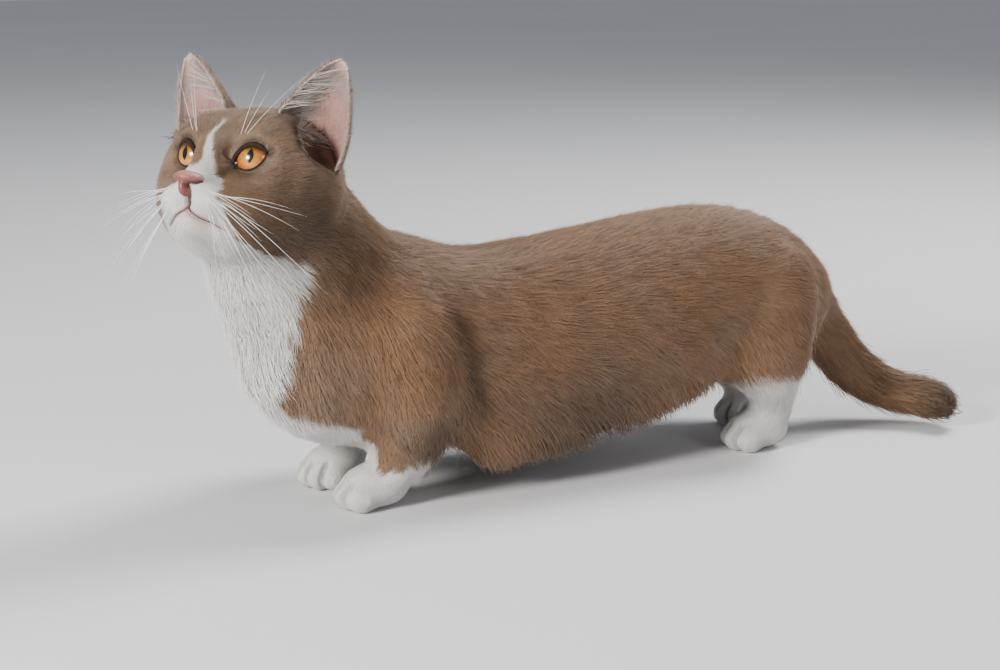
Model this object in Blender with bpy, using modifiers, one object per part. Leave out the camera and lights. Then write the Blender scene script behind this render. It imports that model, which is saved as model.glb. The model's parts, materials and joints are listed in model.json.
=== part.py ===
"""A short-legged house cat, standing with its head raised: a still, life-size model.

Metres, +Z up. The floor is z = 0, the head is towards -X, the tail towards +X and the
cat's left side towards -Y. The flesh is modelled whole and parted by thin cuts.
"""

import math
import random

import bmesh
import bpy
import numpy as np
from mathutils import Euler, Matrix, Vector
from mathutils.bvhtree import BVHTree

# Gap that touching pieces keep, and the fineness of the flesh.
GAP = 0.0003
BROAD_VOXEL = 0.0026
BROAD_SMOOTHING = 16
FLESH_VOXEL = 0.0019
FLESH_SMOOTHING = 4
BEAD_STEP = 0.006
BROAD_TRIANGLES = 8500
FLESH_TRIANGLES = 4500
CUTTER_VOXEL = 0.009
CUTTER_KEPT = 0.30
FINE_HEAD = 0.058
FINE_PAW = 0.013

# Trunk stations along the back: x, height of the back, height of the belly, half width.
TRUNK_STATIONS = (
    (-0.1500, 0.1007, 0.0487, 0.0260),
    (-0.1380, 0.1207, 0.0327, 0.0420),
    (-0.1150, 0.1357, 0.0247, 0.0520),
    (-0.0850, 0.1277, 0.0207, 0.0550),
    (-0.0500, 0.1177, 0.0177, 0.0560),
    (-0.0100, 0.1187, 0.0187, 0.0570),
    (0.0300, 0.1227, 0.0217, 0.0570),
    (0.0650, 0.1267, 0.0277, 0.0550),
    (0.0950, 0.1277, 0.0327, 0.0540),
    (0.1220, 0.1227, 0.0387, 0.0510),
    (0.1440, 0.1107, 0.0447, 0.0390),
    (0.1590, 0.0947, 0.0547, 0.0230),
)
TRUNK_BEAD_LENGTH = 0.016

# Neck beads: x, y, z, radius.
NECK_BEADS = (
    (-0.1200, 0.0000, 0.0887, 0.0480),
    (-0.1325, -0.0010, 0.1087, 0.0445),
    (-0.1445, -0.0030, 0.1267, 0.0405),
    (-0.1525, -0.0050, 0.1447, 0.0340),
)

# Tail centre line: x, y, z, radius.
TAIL_BEADS = (
    (0.1450, 0.0000, 0.0760, 0.0200),
    (0.1660, 0.0000, 0.0610, 0.0170),
    (0.1790, -0.0020, 0.0460, 0.0150),
    (0.1895, -0.0060, 0.0325, 0.0136),
    (0.1990, -0.0130, 0.0235, 0.0124),
    (0.2085, -0.0220, 0.0182, 0.0114),
    (0.2180, -0.0300, 0.0158, 0.0112),
    (0.2235, -0.0375, 0.0148, 0.0108),
    (0.2240, -0.0445, 0.0140, 0.0092),
    (0.2215, -0.0500, 0.0136, 0.0062),
)

# Head: place of its own origin, and how it is turned (degrees).
HEAD_CENTRE = (-0.1630, -0.0070, 0.1527)
HEAD_YAW = 32.0
HEAD_PITCH = 17.0
HEAD_ROLL = 0.0

# Head masses in the head's own axes (forward, left, up): centre, radii. Those with a left
# coordinate stand on both sides. Each list is blended over its own width.
SKULL_BLEND = 0.009
SKULL_MASSES = (
    ((-0.010, 0.0, 0.008), (0.037, 0.037, 0.031)),
    ((0.007, 0.0, -0.004), (0.026, 0.034, 0.026)),
    ((0.018, 0.0, 0.010), (0.0165, 0.013, 0.016)),
    ((-0.006, 0.019, -0.009), (0.027, 0.024, 0.021)),
    ((0.000, 0.022, 0.004), (0.023, 0.021, 0.020)),
    ((0.010, 0.015, 0.018), (0.0170, 0.016, 0.013)),
    ((0.014, 0.018, -0.009), (0.018, 0.014, 0.014)),
    ((0.012, 0.008, -0.021), (0.024, 0.0145, 0.0125)),
)
FACE_BLEND = 0.005
FACE_MASSES = (
    ((0.0290, 0.0, 0.0060), (0.0100, 0.0080, 0.0140)),
    ((0.0350, 0.0, -0.0010), (0.0085, 0.0066, 0.0075)),
    ((0.0400, 0.0, -0.0045), (0.0075, 0.0062, 0.0052)),
    ((0.0340, 0.0085, -0.0115), (0.0115, 0.0092, 0.0082)),
    ((0.0340, 0.0, -0.0210), (0.0110, 0.0090, 0.0072)),
    ((0.0230, 0.0150, -0.0125), (0.0150, 0.0110, 0.0110)),
)
LID_BLEND = 0.0022
SOCKET = ((0.0315, 0.0180, 0.0098), (0.0068, 0.0098, 0.0078))
SOCKET_BLEND = 0.006
HEAD_CORE = (0.006, 0.0, -0.003)
HEAD_REACH = 0.080
HEAD_STEPS = 60
# How far above the neck's cut the head's own form takes over: where it is fuller, where leaner.
NECK_FADES = (0.010, 0.024)

EYE_PLACE = (0.0178, 0.0148, 0.0105)
EYE_RADIUS = 0.0100

# Limb beads on the left side: x, distance from the middle, z, radius.
FORELEG_BEADS = (
    (-0.0980, 0.034, 0.0847, 0.0270),
    (-0.0940, 0.037, 0.0607, 0.0250),
    (-0.0920, 0.034, 0.0425, 0.0190),
    (-0.0960, 0.029, 0.0260, 0.0145),
    (-0.1020, 0.025, 0.0160, 0.0125),
)
HINDLEG_BEADS = (
    (0.1120, 0.030, 0.0847, 0.0300),
    (0.1080, 0.036, 0.0607, 0.0270),
    (0.1130, 0.034, 0.0440, 0.0195),
    (0.1190, 0.031, 0.0320, 0.0145),
    (0.1200, 0.029, 0.0200, 0.0125),
    (0.1170, 0.027, 0.0130, 0.0120),
)

# Fringe of longer coat under the belly, on the left side: x, distance from the middle, lowest height.
BELLY_STATIONS = (
    (-0.0660, 0.0300, 0.0230),
    (-0.0500, 0.0320, 0.0180),
    (-0.0300, 0.0330, 0.0180),
    (-0.0100, 0.0330, 0.0195),
    (0.0100, 0.0330, 0.0225),
    (0.0340, 0.0330, 0.0270),
    (0.0580, 0.0320, 0.0325),
    (0.0780, 0.0300, 0.0385),
)
BELLY_RADII = (0.016, 0.017, 0.030)
# Locks: root width, thickness, how much of the length is sunk, and the spread of their sizes.
LOCK_WIDTH = 0.0130
LOCK_THICKNESS = 0.0024
LOCK_SUNK = 0.30
LOCK_SPREAD = 0.16
LOCK_SEED = 7
LOCK_OUTLINE = ((-LOCK_SUNK, 0.80), (0.20, 1.0), (0.66, 0.72))
# Fringe of locks below the flanks: x of its ends, how many to a row, and heights of its tips.
FRINGE_ENDS = (-0.0600, 0.0800)
FRINGE_COUNT = 12
FRINGE_TIPS = (
    (-0.0660, 0.0145),
    (-0.0500, 0.0080),
    (-0.0200, 0.0090),
    (0.0100, 0.0130),
    (0.0400, 0.0190),
    (0.0640, 0.0245),
    (0.0900, 0.0330),
)
# Rows of the fringe: angle below level of their roots, and share of the way to the tips' height.
FRINGE_ROWS = ((28.0, 0.72), (62.0, 0.96))
FRINGE_AXIS_HEIGHT = 0.052
FRINGE_LIE = (0.48, 0.18, -0.86)
FRINGE_BEND = 0.10
# Bib of locks down the throat and chest: height of each row and how many are in it.
BIB_ROWS = ((0.0980, 3), (0.0850, 4), (0.0720, 4), (0.0590, 3))
BIB_ANGLE = 44.0
BIB_AXIS = (-0.1060, -0.0010)
BIB_LENGTH = 0.0190
BIB_LIFT = 0.13
BIB_BEND = 0.02
# Locks along the tail: first and last place of the rings, and how many of each there are.
TAIL_RINGS = (4.7, 8.3)
TAIL_RING_COUNT = 3
TAIL_ROUND = 6
TAIL_LENGTH = 0.0210
TAIL_LIFT = 0.17
TAIL_BENDS = (0.12, 0.28, 0.46)

# The right hind leg is set back and nearer to the middle at the foot, and not at the hip.
FAR_STRIDE = (0.026, -0.011)
HIP_HEIGHT = 0.085

# Paws: x and distance from the middle, turned outwards by some degrees.
FOREPAW_PLACE = (-0.109, 0.022)
HINDPAW_PLACE = (0.1130, 0.027)
FOREPAW_TURN = 16.0
HINDPAW_TURN = 14.0
PALM_RADII = (0.0175, 0.0135, 0.0115)
PALM_HEIGHT = 0.0105
TOE_RADII = (0.0085, 0.0050, 0.0074)
TOE_HEIGHT = 0.0062
# Toe centres from the paw's place: forward, outward.
TOE_PLACES = ((0.0075, -0.0106), (0.0125, -0.0038), (0.0130, 0.0038), (0.0080, 0.0106))
WRIST_HEIGHT = 0.0225

# Ears, in the head's own axes, left side: ends of the base, tip, and the depth of the cup.
EAR_INNER_BASE = (0.006, 0.015, 0.036)
EAR_OUTER_BASE = (-0.004, 0.042, 0.012)
EAR_TIP = (0.003, 0.043, 0.060)
EAR_CUP_DEPTH = 0.016
EAR_THICKNESS = 0.0019
EAR_ROOT = 0.30
EAR_GRID = (5, 6)

# Eye opening: half width, half height, depth of the cut and the tilt of its outer corner.
EYE_GAZE_OUT = 18.0
LID_THICKNESS = 0.0016
EYE_OPENING = (0.0086, 0.0060, 0.0078)
EYE_TILT = 14.0

# Nose leather and nostrils in the head's axes, and the line of the mouth on the left side.
NOSE_FINENESS = 0.0007
NOSE_MASSES = (
    ((0.0445, 0.0, -0.0030), (0.0066, 0.0069, 0.0034)),
    ((0.0455, 0.0, -0.0070), (0.0050, 0.0024, 0.0042)),
)
NOSTRIL = ((0.0462, 0.0044, -0.0048), (0.0028, 0.0017, 0.0011))
MOUTH_LINE = (
    (0.0440, 0.0, -0.0100),
    (0.0430, 0.0, -0.0150),
    (0.0410, 0.0045, -0.0178),
    (0.0370, 0.0095, -0.0200),
    (0.0310, 0.0135, -0.0212),
)
MOUTH_WIDTH = 0.0009
MOUTH_STEP = 0.0011
MOUTH_KEPT = 0.14
NOSE_KEPT = 0.10
# Hollow of the head at the root of the ear: offset from the middle of the ear's base, radii.
EAR_HOLLOW = ((0.0005, 0.0025, 0.0005), (0.0160, 0.0150, 0.0120))

# Cutting planes: a point on the plane, and the direction of the side that becomes the node.
HEAD_CUT = ((-0.146, -0.004, 0.1300), (-0.46, -0.10, 0.88))
NECK_CUT = ((-0.119, 0.000, 0.1147), (-0.80, 0.0, 0.60))
TAIL_CUTS = (
    ((0.1740, -0.001, 0.052), (0.70, -0.10, -0.70)),
    ((0.2060, -0.019, 0.0200), (0.72, -0.64, -0.27)),
)
TAIL_CUT_SPREAD = 0.056
CUT_REACH = 0.30

# Moves the finished nodes so that their common box stands over the origin.
CENTRING = (-0.0158, 0.0027, 0.0)
SHARP_ANGLE = 38.0

# Colour and roughness by the first word of the node's name.
COLOURS = {
    "coat": ((0.40, 0.30, 0.24), 0.85),
    "forepaw": ((0.78, 0.74, 0.70), 0.85),
    "hindpaw": ((0.78, 0.74, 0.70), 0.85),
    "ear": ((0.62, 0.44, 0.40), 0.80),
    "nose": ((0.60, 0.27, 0.25), 0.50),
    "eye": ((0.62, 0.32, 0.06), 0.12),
}
LEG_CUT_MARGIN = 0.006
PAW_CUT_RADII = (0.042, 0.029, 0.026)


def head_matrix():
    """From the head's own axes (forward, left, up) to the world."""
    yaw = math.radians(HEAD_YAW)
    pitch = math.radians(HEAD_PITCH)
    roll = math.radians(HEAD_ROLL)
    forward = Vector((-math.cos(yaw) * math.cos(pitch), -math.sin(yaw) * math.cos(pitch), math.sin(pitch)))
    left = Vector((0, 0, 1)).cross(forward).normalized()
    up = forward.cross(left)
    turned_left = left * math.cos(roll) + up * math.sin(roll)
    turned_up = up * math.cos(roll) - left * math.sin(roll)
    axes = Matrix((forward, turned_left, turned_up)).transposed().to_4x4()
    return Matrix.Translation(HEAD_CENTRE) @ axes


def mirrored(point, side):
    """The point with its second coordinate on the side wanted: 1 keeps it, -1 mirrors it."""
    return Vector((point[0], point[1] * side, point[2]))


def ball(bag, centre, radii, frame=Matrix.Identity(4), turn=(0.0, 0.0, 0.0), fineness=3):
    """Adds an ellipsoid to the mesh that is being gathered."""
    place = frame @ Matrix.LocRotScale(Vector(centre), Euler(turn), Vector(radii))
    bmesh.ops.create_icosphere(bag, subdivisions=fineness, radius=1.0, matrix=place)


def smooth_between(stations, t):
    """Catmull-Rom value between numbered stations, t running from 0 to the last station's number."""
    last = len(stations) - 1
    i = min(int(t), last - 1)
    u = t - i
    p0, p1, p2, p3 = (stations[min(max(k, 0), last)] for k in (i - 1, i, i + 1, i + 2))
    return tuple(
        0.5 * (2 * b + (c - a) * u + (2 * a - 5 * b + 4 * c - d) * u * u + (3 * b - a - 3 * c + d) * u ** 3)
        for a, b, c, d in zip(p0, p1, p2, p3)
    )


def stations_along(stations, step):
    """Stations filled in so that neighbours lie about a step apart in their first three values."""
    found = []
    for i in range(len(stations) - 1):
        reach = (Vector(stations[i][:3]) - Vector(stations[i + 1][:3])).length
        count = max(1, round(reach / step))
        found += [smooth_between(stations, i + k / count) for k in range(count)]
    return found + [stations[-1]]


def string_of_beads(bag, beads, side=1, margin=0.0, fineness=2):
    """Overlapping balls along a bent limb, tail or neck."""
    for x, y, z, radius in stations_along(beads, BEAD_STEP):
        fat = radius + margin
        ball(bag, (x, y * side, z), (fat, fat, fat), fineness=fineness)


def strided(points, side):
    """The hind leg's points, or its paw's place, set back on the right side by their depth below the hip."""
    if side < 0:
        return points
    moved = []
    for point in points:
        share = 1 - point[2] / HIP_HEIGHT if len(point) > 2 else 1.0
        moved.append((point[0] + FAR_STRIDE[0] * share, point[1] + FAR_STRIDE[1] * share, *point[2:]))
    return moved


def leg_plans(side):
    """For each leg of a side: its kind, beads, the paw's place and turn."""
    hind_place = strided((HINDPAW_PLACE,), side)[0]
    return (
        ("fore", FORELEG_BEADS, FOREPAW_PLACE, FOREPAW_TURN),
        ("hind", strided(HINDLEG_BEADS, side), hind_place, HINDPAW_TURN),
    )


def trunk(bag):
    for x, back, belly, half_width in stations_along(TRUNK_STATIONS, BEAD_STEP):
        ball(bag, (x, 0, (back + belly) / 2), (TRUNK_BEAD_LENGTH, half_width, (back - belly) / 2))


def belly(bag, side):
    for x, y, low in stations_along(BELLY_STATIONS, BEAD_STEP):
        ball(bag, (x, y * side, low + BELLY_RADII[2]), BELLY_RADII, fineness=2)


def lock(collection, root, lie, face, length, width, bend):
    """One flat lock: its root sunk, tapering to a point, its face turned along a given direction."""
    lie = Vector(lie).normalized()
    side = lie.cross(Vector(face)).normalized()
    face = side.cross(lie).normalized()
    bag = bmesh.new()
    rings = []
    for share, breadth in LOCK_OUTLINE:
        centre = Vector(root) + lie * (length * share) - face * (bend * length * max(share, 0) ** 2)
        wide = side * (width * breadth / 2)
        ridge = face * LOCK_THICKNESS
        rings.append([bag.verts.new(centre + step) for step in (wide, ridge, -wide)])
    tip = bag.verts.new(Vector(root) + lie * length - face * (bend * length))
    for first, second in zip(rings, rings[1:]):
        for i in range(3):
            bag.faces.new((first[i], first[(i + 1) % 3], second[(i + 1) % 3], second[i]))
    for i in range(3):
        bag.faces.new((rings[-1][i], rings[-1][(i + 1) % 3], tip))
    bag.faces.new(rings[0][::-1])
    bmesh.ops.recalc_face_normals(bag, faces=bag.faces)
    return object_from(bag, "lock", collection)


def varied(draw):
    return 1 + draw.uniform(-LOCK_SPREAD, LOCK_SPREAD)


def height_along(stations, x):
    return float(np.interp(x, [s[0] for s in stations], [s[-1] for s in stations]))


def laid(lie, normal, lift):
    """The direction pressed down onto the surface, then lifted a little off it."""
    lie = Vector(lie)
    return (lie - normal * lie.dot(normal)).normalized() + normal * lift


def fringe_locks(collection, tree, draw):
    first, last = FRINGE_ENDS
    for side in (1, -1):
        for row, (angle, share) in enumerate(FRINGE_ROWS):
            for i in range(FRINGE_COUNT):
                x = first + (last - first) * (i + 0.5 * row) / (FRINGE_COUNT - 0.5)
                slope = math.radians(angle + draw.uniform(-4, 4))
                outward = Vector((0, side * math.cos(slope), -math.sin(slope)))
                root = tree.ray_cast(Vector((x, 0, FRINGE_AXIS_HEIGHT)), outward)[0]
                lie = Vector((FRINGE_LIE[0], side * FRINGE_LIE[1] * math.cos(slope), FRINGE_LIE[2])).normalized()
                drop = (root.z - height_along(FRINGE_TIPS, x + 0.010)) * share
                lock(collection, root, lie, outward, drop / -lie.z * varied(draw), LOCK_WIDTH * varied(draw), FRINGE_BEND)


def bib_locks(collection, tree, draw):
    for height, count in BIB_ROWS:
        for i in range(count):
            angle = math.radians(BIB_ANGLE * (2 * (i + 0.5) / count - 1) + draw.uniform(-4, 4))
            outward = Vector((-math.cos(angle), math.sin(angle), 0))
            start = Vector((*BIB_AXIS, height + draw.uniform(-0.002, 0.002)))
            root, normal = tree.ray_cast(start, outward)[:2]
            lie = laid((0, 0, -1), normal, BIB_LIFT)
            lock(collection, root, lie, normal, BIB_LENGTH * varied(draw), LOCK_WIDTH * varied(draw), BIB_BEND)


def tail_locks(collection, draw):
    first, last = TAIL_RINGS
    for ring in range(TAIL_RING_COUNT):
        t = first + (last - first) * ring / (TAIL_RING_COUNT - 1)
        here = smooth_between(TAIL_BEADS, t)
        ahead = smooth_between(TAIL_BEADS, min(t + 0.4, len(TAIL_BEADS) - 1.001))
        along = (Vector(ahead[:3]) - Vector(here[:3])).normalized()
        across = along.cross(Vector((0, 0, 1))).normalized()
        upward = across.cross(along)
        for i in range(TAIL_ROUND):
            angle = 2 * math.pi * (i + 0.5 * (ring % 2)) / TAIL_ROUND + draw.uniform(-0.1, 0.1)
            outward = across * math.cos(angle) + upward * math.sin(angle)
            root = Vector(here[:3]) + outward * (here[3] * 0.92)
            lie = along + outward * TAIL_LIFT
            bend = TAIL_BENDS[ring]
            lock(collection, root, lie, outward, TAIL_LENGTH * varied(draw), LOCK_WIDTH * varied(draw), bend)


def coated(whole):
    """Joins the locks of the longer coat to the flesh, by one union."""
    draw = random.Random(LOCK_SEED)
    coat = collection_named("locks")
    tree = BVHTree.FromPolygons([v.co.copy() for v in whole.data.vertices],
                                [tuple(f.vertices) for f in whole.data.polygons])
    fringe_locks(coat, tree, draw)
    bib_locks(coat, tree, draw)
    tail_locks(coat, draw)
    union = whole.modifiers.new("Coat", "BOOLEAN")
    union.operation = "UNION"
    union.solver = "MANIFOLD"
    union.operand_type = "COLLECTION"
    union.collection = coat
    apply_modifiers(whole)
    for piece in list(coat.objects):
        bpy.data.objects.remove(piece)
    bpy.data.collections.remove(coat)
    return keep_largest(whole)


def skull_masses(bag):
    frame = head_matrix()
    for centre, radii in SKULL_MASSES:
        for side in (1, -1) if centre[1] else (1,):
            ball(bag, mirrored(centre, side), radii, frame)


def distance_to_balls(points, masses, blend):
    """Distance to the blended surface of the masses, less than 0 inside."""
    found = None
    for centre, radii in masses:
        for side in (1, -1) if centre[1] else (1,):
            away = points - np.array(mirrored(centre, side))
            inside = np.linalg.norm(away / radii, axis=1)
            slope = np.linalg.norm(away / np.square(radii), axis=1)
            distance = inside * (inside - 1) / np.maximum(slope, 1e-9)
            found = distance if found is None else blended(found, distance, blend)
    return found


def blended(one, other, width):
    """The smaller of two distances, rounded off where they are nearly equal."""
    near = np.maximum(width - np.abs(one - other), 0) / width
    return np.minimum(one, other) - near * near * width / 4


def distance_to_head(points):
    skull = distance_to_balls(points, SKULL_MASSES, SKULL_BLEND)
    face = distance_to_balls(points, FACE_MASSES, FACE_BLEND)
    lid_radius = EYE_RADIUS + LID_THICKNESS
    lids = distance_to_balls(points, ((EYE_PLACE, (lid_radius,) * 3),), LID_BLEND)
    socket = distance_to_balls(points, (SOCKET,), LID_BLEND)
    hollowed = -blended(-blended(skull, face, FACE_BLEND), socket, SOCKET_BLEND)
    return blended(hollowed, lids, LID_BLEND)


def surface_along(rays):
    """How far from the core of the head its surface lies along each ray."""
    core = np.array(HEAD_CORE)
    outer = np.full(len(rays), HEAD_REACH)
    step = HEAD_REACH / HEAD_STEPS
    for _ in range(HEAD_STEPS):
        further = distance_to_head(core + rays * (outer - step)[:, None]) > 0
        outer = np.where(further, outer - step, outer)
    inner = outer - step
    for _ in range(12):
        middle = (inner + outer) / 2
        outside = distance_to_head(core + rays * middle[:, None]) > 0
        outer = np.where(outside, middle, outer)
        inner = np.where(outside, inner, middle)
    return outer


def onto_head(points):
    """The points, in the head's axes, moved onto its surface."""
    away = np.array(points) - np.array(HEAD_CORE)
    rays = away / np.linalg.norm(away, axis=1)[:, None]
    return np.array(HEAD_CORE) + rays * surface_along(rays)[:, None]


def form_head(whole):
    """Moves the surface near the head onto the head's own form, fading out towards the neck."""
    core = np.array(HEAD_CORE)
    to_world = head_matrix()
    to_head = to_world.inverted()
    near = [v for v in whole.data.vertices if (to_head @ v.co - Vector(HEAD_CORE)).length < HEAD_REACH]
    away = np.array([to_head @ v.co for v in near]) - core
    old_reach = np.linalg.norm(away, axis=1)
    rays = away / old_reach[:, None]
    reach = surface_along(rays)
    direction = Vector(HEAD_CUT[1]).normalized()
    above = np.array([(v.co - Vector(HEAD_CUT[0])).dot(direction) for v in near])
    fade = np.where(reach > old_reach, NECK_FADES[0], NECK_FADES[1])
    share = np.clip(above / fade, 0, 1)
    new_reach = old_reach + (reach - old_reach) * share * share * (3 - 2 * share)
    for vertex, place in zip(near, core + rays * new_reach[:, None]):
        vertex.co = to_world @ Vector(place)


def object_from(bag, name, collection):
    mesh = bpy.data.meshes.new(name)
    bag.to_mesh(mesh)
    bag.free()
    made = bpy.data.objects.new(name, mesh)
    collection.objects.link(made)
    return made


def collection_named(name):
    made = bpy.data.collections.new(name)
    bpy.context.scene.collection.children.link(made)
    return made


def clear_scene():
    for old in list(bpy.data.objects):
        bpy.data.objects.remove(old)


def apply_modifiers(piece):
    """Replaces the object's mesh by the one its modifiers make."""
    graph = bpy.context.evaluated_depsgraph_get()
    finished = bpy.data.meshes.new_from_object(piece.evaluated_get(graph))
    piece.modifiers.clear()
    piece.data = finished
    return piece


def remeshed(piece, voxel, smoothing):
    remesh = piece.modifiers.new("Remesh", "REMESH")
    remesh.mode = "VOXEL"
    remesh.voxel_size = voxel
    smooth = piece.modifiers.new("Smooth", "SMOOTH")
    smooth.iterations = smoothing
    return apply_modifiers(piece)


def joined_or_cut(piece, other, operation):
    """One Boolean, applied. Both meshes are closed, so the fast solver serves."""
    boolean = piece.modifiers.new("Boolean", "BOOLEAN")
    boolean.operation = operation
    boolean.solver = "MANIFOLD"
    boolean.object = other
    return apply_modifiers(piece)


def copy_of(piece, name, collection):
    made = bpy.data.objects.new(name, piece.data.copy())
    collection.objects.link(made)
    return made


def grown(piece, name, collection, reach):
    """A copy whose surface is moved out along its normals."""
    made = copy_of(piece, name, collection)
    for vertex, normal in zip(made.data.vertices, [n.vector.copy() for n in made.data.vertex_normals]):
        vertex.co += normal * reach
    return made


def keep_largest(piece):
    """Leaves only the largest closed surface of the mesh."""
    bag = bmesh.new()
    bag.from_mesh(piece.data)
    left = set(bag.faces)
    shells = []
    while left:
        shell = {left.pop()}
        edge_of_shell = list(shell)
        while edge_of_shell:
            face = edge_of_shell.pop()
            for edge in face.edges:
                for other in edge.link_faces:
                    if other in left:
                        left.remove(other)
                        shell.add(other)
                        edge_of_shell.append(other)
        shells.append(shell)
    shells.sort(key=lambda shell: sum(face.calc_area() for face in shell))
    for shell in shells[:-1]:
        bmesh.ops.delete(bag, geom=list(shell), context="FACES")
    bmesh.ops.delete(bag, geom=[v for v in bag.verts if not v.link_faces], context="VERTS")
    bag.to_mesh(piece.data)
    bag.free()
    return piece


def half_space(name, point, direction, collection, spread=CUT_REACH):
    """A large box that starts at the plane and reaches along the direction."""
    turn = Vector(direction).to_track_quat("Z", "Y").to_matrix().to_4x4()
    size = Matrix.Diagonal((spread, spread, CUT_REACH, 1.0))
    place = Matrix.Translation(point) @ turn @ Matrix.Translation((0, 0, CUT_REACH / 2)) @ size
    bag = bmesh.new()
    bmesh.ops.create_cube(bag, size=1.0, matrix=place)
    return object_from(bag, name, collection)


def part_off(whole, cutter, name, cat, cutters, gap=GAP * 1.4):
    """Takes what is inside the cutter as a new node, and leaves the rest with a thin gap to it."""
    node = copy_of(whole, name, cat)
    joined_or_cut(node, cutter, "INTERSECT")
    wider = grown(cutter, cutter.name + "_wider", cutters, gap)
    joined_or_cut(whole, wider, "DIFFERENCE")
    keep_largest(whole)
    return keep_largest(node)


def paw_masses(bag, place, turn, side):
    frame = Matrix.Translation((place[0], place[1] * side, 0)) @ Matrix.Rotation(math.radians(turn) * side, 4, "Z")
    ball(bag, (0, 0, PALM_HEIGHT), PALM_RADII, frame)
    for forward, outward in TOE_PLACES:
        ball(bag, (-forward, outward * side, TOE_HEIGHT), TOE_RADII, frame)


def flesh(cat, cutters):
    """The whole animal without its ears and eyes, as one closed surface with flat soles."""
    bag = bmesh.new()
    trunk(bag)
    string_of_beads(bag, NECK_BEADS)
    string_of_beads(bag, TAIL_BEADS)
    skull_masses(bag)
    for side in (1, -1):
        belly(bag, side)
        for _, beads, _, _ in leg_plans(side):
            string_of_beads(bag, beads, side)
    broad = remeshed(object_from(bag, "broad", cutters), BROAD_VOXEL, BROAD_SMOOTHING)
    bag = bmesh.new()
    bag.from_mesh(broad.data)
    for side in (1, -1):
        for _, _, place, turn in leg_plans(side):
            paw_masses(bag, place, turn, side)
    whole = remeshed(object_from(bag, "flesh", cat), FLESH_VOXEL, FLESH_SMOOTHING)
    form_head(whole)
    thin_out(whole)
    coated(whole)
    floor = half_space("floor", (0, 0, 0), (0, 0, -1), cutters)
    floor.data.transform(Matrix.Diagonal((4, 4, 1, 1)))
    return joined_or_cut(whole, floor, "DIFFERENCE")


def thin_out(whole):
    """Fewer triangles, and fewest where the form is broad."""
    centre = Vector(HEAD_CENTRE)
    broad = whole.vertex_groups.new(name="broad")
    fine = [(v.co - centre).length < FINE_HEAD or v.co.z < FINE_PAW for v in whole.data.vertices]
    broad.add([i for i, is_fine in enumerate(fine) if not is_fine], 1.0, "REPLACE")
    triangles = 2 * len(whole.data.polygons)
    fine_triangles = triangles * sum(fine) / len(fine)
    broad_first = whole.modifiers.new("Broad", "DECIMATE")
    broad_first.vertex_group = broad.name
    broad_first.ratio = (fine_triangles + BROAD_TRIANGLES) / triangles
    everywhere = whole.modifiers.new("Everywhere", "DECIMATE")
    everywhere.ratio = FLESH_TRIANGLES / (fine_triangles + BROAD_TRIANGLES)
    apply_modifiers(whole)


def eye_frame(side):
    """At the eye's centre, with the first axis along its gaze and the second to its outer corner."""
    turn = Matrix.Rotation(math.radians(EYE_GAZE_OUT) * side, 4, "Z")
    tilt = Matrix.Rotation(math.radians(EYE_TILT) * side, 4, "X")
    return head_matrix() @ Matrix.Translation(mirrored(EYE_PLACE, side)) @ turn @ tilt


def eyes(head, cat, cutters):
    for side, word in ((1, "left"), (-1, "right")):
        frame = eye_frame(side)
        bag = bmesh.new()
        ball(bag, (0, 0, 0), (EYE_RADIUS,) * 3, frame, fineness=3)
        eye = object_from(bag, "eye_" + word, cat)
        socket = grown(eye, "socket_" + word, cutters, GAP)
        joined_or_cut(head, socket, "DIFFERENCE")
        half_width, half_height, depth = EYE_OPENING
        bag = bmesh.new()
        ball(bag, (EYE_RADIUS, 0, 0), (depth, half_width, half_height), frame, fineness=3)
        opening = object_from(bag, "opening_" + word, cutters)
        joined_or_cut(head, opening, "DIFFERENCE")
    keep_largest(head)


def nose_and_mouth(head, cat, cutters):
    frame = head_matrix()
    bag = bmesh.new()
    for centre, radii in NOSE_MASSES:
        ball(bag, centre, radii, frame)
    leather = remeshed(object_from(bag, "nose_cutter", cutters), NOSE_FINENESS, FLESH_SMOOTHING)
    nose = part_off(head, thinned(leather, NOSE_KEPT), "nose", cat, cutters)
    bag = bmesh.new()
    for side in (1, -1):
        ball(bag, mirrored(NOSTRIL[0], side), NOSTRIL[1], frame, fineness=2)
    joined_or_cut(nose, object_from(bag, "nostrils", cutters), "DIFFERENCE")
    keep_largest(nose)
    bag = bmesh.new()
    for side in (1, -1):
        line = np.array([mirrored(point, side) for point in stations_along(MOUTH_LINE, MOUTH_STEP)])
        for point in onto_head(line):
            ball(bag, point, (MOUTH_WIDTH,) * 3, frame, fineness=2)
    line = remeshed(object_from(bag, "mouth_line", cutters), MOUTH_WIDTH * 0.7, 1)
    joined_or_cut(head, thinned(line, MOUTH_KEPT), "DIFFERENCE")
    keep_largest(head)


def ear_point(across, up):
    """A point of the left ear's shell in the head's axes; across runs from -1 to 1 between its edges."""
    inner = Vector(EAR_INNER_BASE)
    outer = Vector(EAR_OUTER_BASE)
    tip = Vector(EAR_TIP)
    middle = (inner + outer) / 2
    edge = (outer - inner) / 2
    spine = tip - middle
    back = edge.cross(spine).normalized()
    if back.x > 0:
        back = -back
    narrowing = max(0.0, 1 - max(up, 0.0)) ** 0.62
    bulge = 1 + (0.22 if across > 0 else 0.02) * math.sin(math.pi * min(max(up, 0.0), 1.0))
    depth = EAR_CUP_DEPTH * narrowing * (1 - 0.35 * max(up, 0.0))
    hollow = math.sqrt(max(0.0, 1 - across * across))
    return middle + spine * up + edge * (across * narrowing * bulge) + back * (depth * hollow)


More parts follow.
